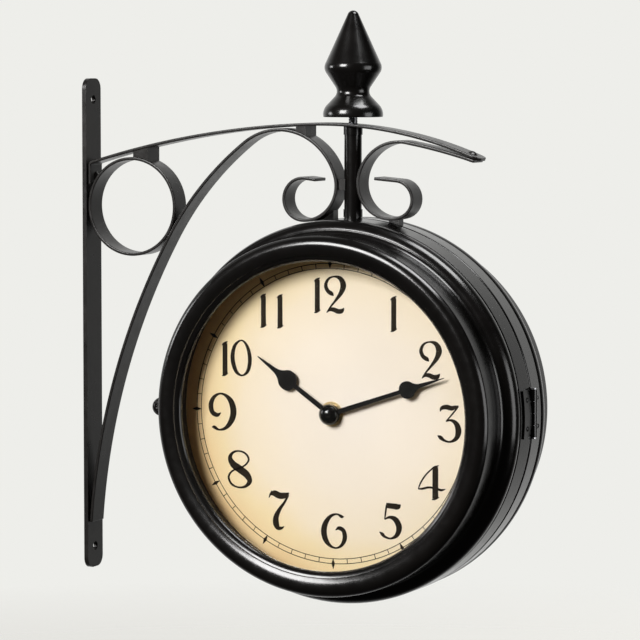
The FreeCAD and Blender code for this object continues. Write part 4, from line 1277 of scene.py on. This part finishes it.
@dataclass
class DialFace:
    """Printed minute track and numerals of one dial, and its hub nut.

    Attributes:
        side: Front or rear.
        plane: Distance t of the dial's face from the middle plane.
        ink: Thickness of the print.
        track: Outer and inner radius of the minute track.
        line: Half width of the track's lines.
        track_turn: Turn of the minute track against the clock, in degrees.
        mark: Half length and half width of the twelve diamonds.
        numeral_height: Height of the numerals.
        places: Middle of each hour's numeral (x to the viewer's right, z up).
        stretch: Width and height of single hours against the plain size.
        gap: Space between the digits of 10 and 12, in numeral units.
        gap_of_11: Space between the digits of 11, in numeral units.
        stroke_weight: Factor on every stroke's half width.
        bar_lift: Extra height of the minute bars, so that crossing print doesn't coincide.
        mark_lift: Extra height of the diamonds.
        stroke_lift: Extra height of a numeral's first stroke, and of each further one.
        hub_radius: Radius of the hub nut.
        hub_rim: Height of its straight rim.
        hub_rise: Height of its dome.
        hub_foot: Distance t of its foot.
    """

    side: Side
    plane: float = 33.02
    ink: float = 0.05
    track: Pair = (95.0, 91.9)
    line: float = 0.24
    track_turn: float = 0.7
    mark: Pair = (3.6, 1.2)
    numeral_height: float = 23.4
    places: tuple[Pair, ...] = (
        (42.5, 65.1), (67.0, 36.4), (79.8, -2.9), (68.3, -39.35), (40.7, -65.6), (1.6, -74.0),
        (-36.8, -64.45), (-64.5, -39.4), (-76.6, -2.5), (-66.7, 32.4), (-41.7, 64.1), (-1.2, 75.1))
    stretch: dict[int, Pair] = field(default_factory=lambda: {
        4: (1.0, 0.94), 8: (1.09, 1.0), 9: (1.11, 1.08), 11: (1.0, 0.97)})
    gap: float = 8.0
    gap_of_11: float = 30.0
    stroke_weight: float = 1.22
    bar_lift: float = 0.004
    mark_lift: float = 0.012
    stroke_lift: Pair = (0.006, 0.005)
    hub_radius: float = 6.5
    hub_rim: float = 1.0
    hub_rise: float = 3.8
    hub_foot: float = 37.2

    def place(self, flat: np.ndarray, t: np.ndarray | float) -> np.ndarray:
        """Puts dial-plane points into the part's frame.

        Args:
            flat: Points (..., 2), x to the viewer's right and z up.
            t: Distance from the middle plane.

        Returns:
            Points (..., 3).
        """
        s = self.side.value
        x = DRUM_X + s * flat[..., 0]
        return np.stack([x, np.broadcast_to(-s * t, x.shape), DRUM_Z + flat[..., 1]], axis=-1)

    def add_ribbon(self, made: Surface, stroke: np.ndarray, closed: bool, lift: float = 0.0) -> None:
        """Adds a stroke of varying width as a thin closed solid.

        The edges run at the centre line plus and minus half width times its normal.

        Args:
            made: Surface that takes it.
            stroke: Rows of x, z and half width.
            closed: Whether it joins its own start.
            lift: Extra height of the print.
        """
        line = stroke[:, :2]
        ahead, behind = np.roll(line, -1, axis=0), np.roll(line, 1, axis=0)
        if not closed:
            ahead[-1], behind[0] = line[-1], line[0]
        along = unit(ahead - behind)
        normal = np.stack([-along[:, 1], along[:, 0]], axis=1) * stroke[:, 2:3]
        left, right = line + normal, line - normal
        low, high = self.plane, self.plane + self.ink + lift
        ring = [self.place(left, low), self.place(left, high), self.place(right, high),
                self.place(right, low)]
        made.add_grid(np.stack(ring, axis=1), wrap_u=closed, wrap_v=True, caps=not closed)

    def add_prisms(self, made: Surface, quads: np.ndarray, lift: float = 0.0) -> None:
        """Adds four-cornered marks as thin closed solids.

        Args:
            made: Surface that takes them.
            quads: Corners (n, 4, 2).
            lift: Extra height of the print.
        """
        low = self.place(quads, self.plane)
        high = self.place(quads, self.plane + self.ink + lift)
        base = 8 * np.arange(len(quads))[:, None]
        sides = np.array([(0, 1, 5, 4), (1, 2, 6, 5), (2, 3, 7, 6), (3, 0, 4, 7), (3, 2, 1, 0), (4, 5, 6, 7)])
        faces = (base[:, :, None] + sides[None]).reshape(-1, 4)
        made.add(np.concatenate([low, high], axis=1), faces)

    def add_track(self, made: Surface) -> None:
        """Adds two fine circles, sixty bars between them and twelve slim diamonds.

        A bar's corners are r (sin a, cos a) plus and minus half its width across.

        Args:
            made: Surface that takes them.
        """
        turn = np.radians(np.linspace(0.0, 360.0, 288, endpoint=False))
        for r in self.track:
            circle = np.stack([r * np.sin(turn), r * np.cos(turn), np.full(len(turn), self.line)], axis=1)
            self.add_ribbon(made, circle, True)
        a = np.radians(np.arange(0, 360, 6.0) - self.track_turn)
        out = np.stack([np.sin(a), np.cos(a)], axis=1)
        across = np.stack([np.cos(a), -np.sin(a)], axis=1)
        outer, inner = self.track
        bars = np.stack([out * inner - across * self.line, out * inner + across * self.line,
                         out * outer + across * self.line, out * outer - across * self.line], axis=1)
        self.add_prisms(made, bars, self.bar_lift)
        out, across = out[::5], across[::5]
        reach, half = self.mark
        marks = np.stack([out * (outer - reach), out * outer + across * half, out * (outer + reach),
                          out * outer - across * half], axis=1)
        self.add_prisms(made, marks, self.mark_lift)

    def add_numerals(self, made: Surface) -> None:
        """Adds the twelve hours, each stroke a little higher than the last so none coincide.

        Args:
            made: Surface that takes them.
        """
        first_lift, next_lift = self.stroke_lift
        for hour, (x, z) in enumerate(self.places, 1):
            digits = str(hour)
            wide, tall = (k * self.numeral_height / BODY_HEIGHT for k in self.stretch.get(hour, (1.0, 1.0)))
            gap = {"10": self.gap, "11": self.gap_of_11, "12": self.gap}.get(digits, 0.0)
            pen = -(sum(NUMERAL_WIDTHS[digit] for digit in digits) + gap) / 2.0
            for digit in digits:
                for n, (kind, *knots) in enumerate(NUMERAL_STROKES[digit]):
                    stroke = smooth_stroke(np.array(knots, float), kind == "o")
                    stroke[:, 0] = x + (stroke[:, 0] + pen) * wide
                    stroke[:, 1] = z + (stroke[:, 1] - BODY_MIDDLE) * tall
                    stroke[:, 2] *= wide * self.stroke_weight
                    self.add_ribbon(made, stroke, kind == "o", first_lift + next_lift * n)
                pen += NUMERAL_WIDTHS[digit] + gap

    def build_hub(self) -> Surface:
        """Domed hub nut: a short rim, a rolled edge and a ball cap.

        Returns:
            The surface.
        """
        r, rim, rise = self.hub_radius, self.hub_rim, self.hub_rise
        ball = ball_radius(r, rise)
        cap = arc_points((0.0, rim + rise - ball), ball, math.degrees(math.atan2(ball - rise, r)), 90.0, 28)
        foot = rounded(np.array([(0.0, 0.0), (r, 0.0), (r, rim)]), (0, 0.25, 0), False)
        profile = supported(np.concatenate([foot, cap[1:]]), False, 0.2)
        s = self.side.value
        return turned(profile, (DRUM_X, -s * self.hub_foot, DRUM_Z), (0, -s, 0), RIGHT, 96, False)

    def build(self, finishes: Finishes) -> None:
        """Builds and dresses the print and the hub nut.

        Args:
            finishes: The clock's finishes.
        """
        made = Surface()
        self.add_track(made)
        self.add_numerals(made)
        seat(made.piece(f"{self.side.word}_dial_print"), self.side.body, "dial_print", finishes.ink)
        seat(self.build_hub().piece(f"{self.side.word}_hub_cap", 40.0), f"{self.side.word}_minute",
             "hand_black", finishes.nut, f"{self.side.word}_cap_nut")


@dataclass
class ThumbScrew:
    """Thumb screw that clamps the swinging half: shank, sleeve and a fluted head.

    Attributes:
        flutes: Number of grooves round the head.
        depth: Depth of a groove as a share of the radius.
        radius: Radius of the head.
        head: Distances of the head's foot, dome and tip from the drum's axis.
        shank: Radius of the shank and distance of its end from that axis.
        sleeve: Radius of the sleeve and distance of its inner end from that axis.
        segments: Steps round the screw.
    """

    flutes: int = 22
    depth: float = 0.06
    radius: float = 6.0
    head: Triple = (135.5, 142.5, 147.0)
    shank: Pair = (2.0, 112.4)
    sleeve: Pair = (3.6, 124.05)
    segments: int = 160

    def build(self, finishes: Finishes) -> None:
        """Builds and dresses the screw; the head's radius is r (1 - depth (1 + cos(flutes a)) / 2).

        Args:
            finishes: The clock's finishes.
        """
        foot, dome, tip = self.head
        r, rise = self.radius, tip - dome
        (shank_r, start), (sleeve_r, sleeve) = self.shank, self.sleeve
        ball = ball_radius(r, rise)
        cap = arc_points((tip - ball, 0.0), ball, math.degrees(math.atan2(r, ball - rise)), 0.0, 14)[:, ::-1]
        corners = np.array([(0.0, start), (shank_r, start), (shank_r, sleeve), (sleeve_r, sleeve),
                            (sleeve_r, foot), (r, foot), (r, dome)])
        body = rounded(corners, (0, 0.3, 0, 0.3, 0, 0.5, 0), False, 4)
        side = np.stack([np.full(9, r), np.linspace(foot + 0.7, dome, 9)], axis=1)
        profile = without_repeats(np.concatenate([body[:-1], side, cap[1:]]), False)
        profile = supported(profile, False, 0.2)
        a = np.linspace(0.0, 2.0 * math.pi, self.segments, endpoint=False)
        h, out = profile[:, 1][:, None], profile[:, 0][:, None]
        rising = np.clip((h - foot - 0.4) / 0.6, 0, 1)
        falling = np.clip((dome + 1.5 - h) / 1.5, 0, 1)
        share = rising * falling * (out > sleeve_r + 0.1)
        swell = 1.0 - self.depth * share * (1.0 + np.cos(self.flutes * a)[None, :]) / 2.0
        grid = lathe(profile, (DRUM_X, SCREW_Y, SCREW_Z), LEFT, BACK, self.segments, swell)
        made = Surface()
        made.add_grid(grid, wrap_v=True)
        seat(made.piece("fluted_thumb_screw", 40.0), "latch_screw", "gloss_paint", finishes.gloss,
             "latch_screw")


# ------------------------------------------------------------------ CAD nodes that stay


class Carried:
    """Finishes for the CAD nodes whose shape is already right."""

    @staticmethod
    def finish_of(finishes: Finishes) -> dict[str, bpy.types.Material]:
        """Finish of every CAD node.

        Args:
            finishes: The clock's finishes.

        Returns:
            Node name to material.
        """
        found = {}
        satin = ("wall_bar", "ring_spacer", "brace_spacer", "post_pad", "saddle_pad_left", "saddle_pad_right",
                 "bar_rivet", "tip_rivet", "arm", "bracket_ring", "brace_scroll", "tip_scroll")
        gloss = ("post", "post_collars", "finial", "front_shell", "rear_shell", "latch_strap", "strap_rivets",
                 "latch_screw", "hinge_leaf_front", "hinge_leaf_rear", "leaf_rivets_front",
                 "leaf_rivets_rear")
        steel = ("threaded_rod", "hinge_pin", "post_nut", "latch_nut")
        found.update({n: finishes.satin for n in satin})
        found.update({n: finishes.gloss for n in gloss})
        found.update({n: finishes.steel for n in steel})
        found["seam_liner"] = finishes.plastic
        for side in Side:
            kinds = {"glass": finishes.pane, "spacer_ring": finishes.band, "dial": finishes.dial[side],
                     "dial_carrier": finishes.sheet, "carrier_lugs": finishes.sheet,
                     "carrier_screws": finishes.steel, "movement": finishes.plastic,
                     "movement_nut": finishes.brass, "hour_hand": finishes.hands,
                     "minute_hand": finishes.hands, "cap_nut": finishes.hands,
                     "battery": finishes.cell[side], "setting_knob": finishes.plastic}
            found.update({f"{side.word}_{kind}": material for kind, material in kinds.items()})
        return found

    def build(self, finishes: Finishes) -> None:
        """Dresses every CAD node.

        Args:
            finishes: The clock's finishes.
        """
        found = self.finish_of(finishes)
        for name, node in frame["nodes"].items():
            dress(node, found[name])
        LOG.info("dressed %d nodes", len(frame["nodes"]))


# ------------------------------------------------------------------ studio


@dataclass(frozen=True)
class SoftBox:
    """Rectangular lamp that faces the middle of the clock.

    Attributes:
        name: Name of the lamp.
        azimuth: Direction from the clock, in degrees from -Y towards +X.
        elevation: Height of that direction in degrees.
        distance: Distance in metres.
        size: Width and height in metres.
        watts: Power.
        colour: Colour of its light.
        lights: Whether it lights matt surfaces.
        shows: Whether it shows in gloss.
    """

    name: str
    azimuth: float
    elevation: float
    distance: float
    size: Pair
    watts: float
    colour: Triple = (1.0, 1.0, 1.0)
    lights: bool = True
    shows: bool = True

    def build(self) -> None:
        """Builds the lamp at distance (sin a cos e, -cos a cos e, sin e) from the drum's middle."""
        a, e = math.radians(self.azimuth), math.radians(self.elevation)
        away = Vector((math.sin(a) * math.cos(e), -math.cos(a) * math.cos(e), math.sin(e)))
        data = bpy.data.lights.new(self.name, "AREA")
        data.shape, data.size, data.size_y = "RECTANGLE", *self.size
        data.energy, data.color = self.watts, self.colour
        lamp = bpy.data.objects.new(self.name, data)
        bpy.context.scene.collection.objects.link(lamp)
        lamp.location = Vector((DRUM_X, 0.0, DRUM_Z)) * MM + away * self.distance
        lamp.rotation_mode = "QUATERNION"
        lamp.rotation_quaternion = (-away).to_track_quat("-Z", "Y")
        lamp.visible_camera = False
        lamp.visible_diffuse = self.lights
        lamp.visible_glossy = self.shows


@dataclass
class Studio:
    """Pale floor, soft lamps, pale surroundings and the camera.

    Attributes:
        pale: Colour of the surroundings.
        floor_z: Height of the floor in metres.
        eye: Camera position in metres.
        azimuth: Camera's turn towards +X, in degrees.
        pitch: Camera's tilt in degrees.
        lens: Focal length on a 36 mm wide sensor.
        shift: Vertical shift of the lens.
        floor_radii: Inner and outer ring of the floor's mesh in millimetres.
        floor_fade: Distances in metres between which the floor fades out.
        warm: Colour of the surroundings' light on matt surfaces.
        warm_strength: Strength of that light.
        gloss_air: Places and greys of the surroundings as gloss shows them, front to back.
        gloss_lean: How far those places turn from -Y towards +X.
        boxes: The lamps.
    """

    pale: Triple = (0.855, 0.855, 0.823)
    floor_z: float = -0.42
    eye: Triple = (0.94768, -1.69593, 0.16586)
    azimuth: float = 24.681
    pitch: float = -3.572
    lens: float = 164.02
    shift: float = -0.10
    floor_radii: Pair = (40.0, 1700.0)
    floor_fade: Pair = (0.5, 1.5)
    warm: Triple = (1.0, 0.74, 0.48)
    warm_strength: float = 0.07
    gloss_air: tuple[Pair, ...] = ((0.50, 0.015), (0.70, 0.06), (0.83, 0.45), (0.98, 0.85))
    gloss_lean: float = 0.6
    boxes: tuple[SoftBox, ...] = (
        SoftBox("key_box", -18.0, 26.0, 2.5, (1.0, 1.0), 79.0, (1.0, 0.99, 0.98)),
        SoftBox("rear_box", 162.0, 26.0, 2.5, (1.0, 1.0), 44.0, (1.0, 0.99, 0.98), shows=False),
        SoftBox("top_box", 88.0, 70.0, 1.6, (0.75, 0.75), 22.0, lights=False),
        SoftBox("right_box", 86.0, 3.0, 1.7, (0.9, 1.0), 9.0, lights=False),
        SoftBox("left_box", -74.0, 12.0, 1.8, (0.4, 0.4), 5.0, lights=False))

    def build_floor(self) -> None:
        """Round floor: a polar grid of r (cos a, sin a), fading out towards its edge."""
        r = np.concatenate([[0.0], np.geomspace(*self.floor_radii, 24)])
        a = np.linspace(0.0, 2.0 * math.pi, 96, endpoint=False)
        grid = np.stack([DRUM_X + r[:, None] * np.cos(a), r[:, None] * np.sin(a),
                         np.full((len(r), len(a)), self.floor_z / MM)], axis=-1)
        made = Surface()
        made.add_grid(grid, wrap_v=True)
        floor = made.piece("studio_floor")
        desk = Desk("PaleFloor")
        far = desk.distance(desk.object_place((DRUM_X * MM, 0.0, self.floor_z)))
        paint = desk.node("ShaderNodeBsdfDiffuse", Color=(*self.pale, 1.0))
        clear = desk.node("ShaderNodeBsdfTransparent")
        faded = desk.mix(desk.spread(far, 0.0, 1.0, *self.floor_fade), paint.outputs[0], clear.outputs[0])
        desk.join(faded, desk.out.inputs["Surface"])
        dress(floor, desk.owner)
        floor.visible_diffuse = floor.visible_glossy = False

    def build_world(self) -> None:
        """Surroundings: pale to the eye, plain light on the object, darker in front for gloss.

        In gloss, the grey of direction (x, y, z) is looked up at (y - lean x + 1) / 2.
        """
        desk = Desk("StudioAir", "World")
        bpy.context.scene.world = desk.owner
        ray = desk.node("ShaderNodeLightPath").outputs
        seen = desk.node("ShaderNodeBackground", Color=(*self.pale, 1.0))
        light = desk.node("ShaderNodeBackground", Color=(*self.warm, 1.0), Strength=self.warm_strength)
        mirror = desk.node("ShaderNodeBackground")
        split = desk.node("ShaderNodeSeparateXYZ")
        desk.join(desk.node("ShaderNodeTexCoord").outputs["Generated"], split.inputs[0])
        lean = desk.scaled(split.outputs["X"], -self.gloss_lean, split.outputs["Y"])
        greys = [(place, (grey, grey, 0.98 * grey)) for place, grey in self.gloss_air]
        desk.join(desk.ramp(desk.scaled(lean, 0.5, 0.5), greys), mirror.inputs["Color"])
        either = desk.node("ShaderNodeMath", operation="MAXIMUM")
        desk.join(ray["Is Camera Ray"], either.inputs[0])
        desk.join(ray["Is Transmission Ray"], either.inputs[1])
        unseen = desk.mix(ray["Is Glossy Ray"], light.outputs[0], mirror.outputs[0])
        desk.join(desk.mix(either.outputs[0], unseen, seen.outputs[0]), desk.out.inputs["Surface"])

    def build_camera(self) -> None:
        """Camera at the photograph's place, looking along its azimuth and pitch."""
        data = bpy.data.cameras.new("StudioCamera")
        data.lens, data.sensor_width, data.shift_y = self.lens, 36.0, self.shift
        data.clip_start, data.clip_end = 0.05, 50.0
        camera = bpy.data.objects.new("StudioCamera", data)
        bpy.context.scene.collection.objects.link(camera)
        a, p = math.radians(self.azimuth), math.radians(self.pitch)
        ahead = Vector((-math.sin(a) * math.cos(p), math.cos(a) * math.cos(p), math.sin(p)))
        camera.location = self.eye
        camera.rotation_mode = "QUATERNION"
        camera.rotation_quaternion = ahead.to_track_quat("-Z", "Y")
        bpy.context.scene.camera = camera

    def build(self) -> None:
        """Builds floor, surroundings, lamps and camera."""
        self.build_floor()
        self.build_world()
        for box in self.boxes:
            box.build()
        self.build_camera()
        bpy.context.scene.view_settings.view_transform = "Standard"


def main() -> None:
    """Builds every sub-assembly in order."""
    logging.basicConfig(level=logging.INFO, format="%(name)s: %(message)s")
    finishes = Finishes()
    Carried().build(finishes)
    Bracket().build(finishes)
    Finial().build(finishes)
    for side in Side:
        CaseHalf(side).build(finishes)
        DialFace(side).build(finishes)
    ThumbScrew().build(finishes)
    Studio().build()
    bpy.context.view_layer.update()


if __name__ == "__main__":
    main()
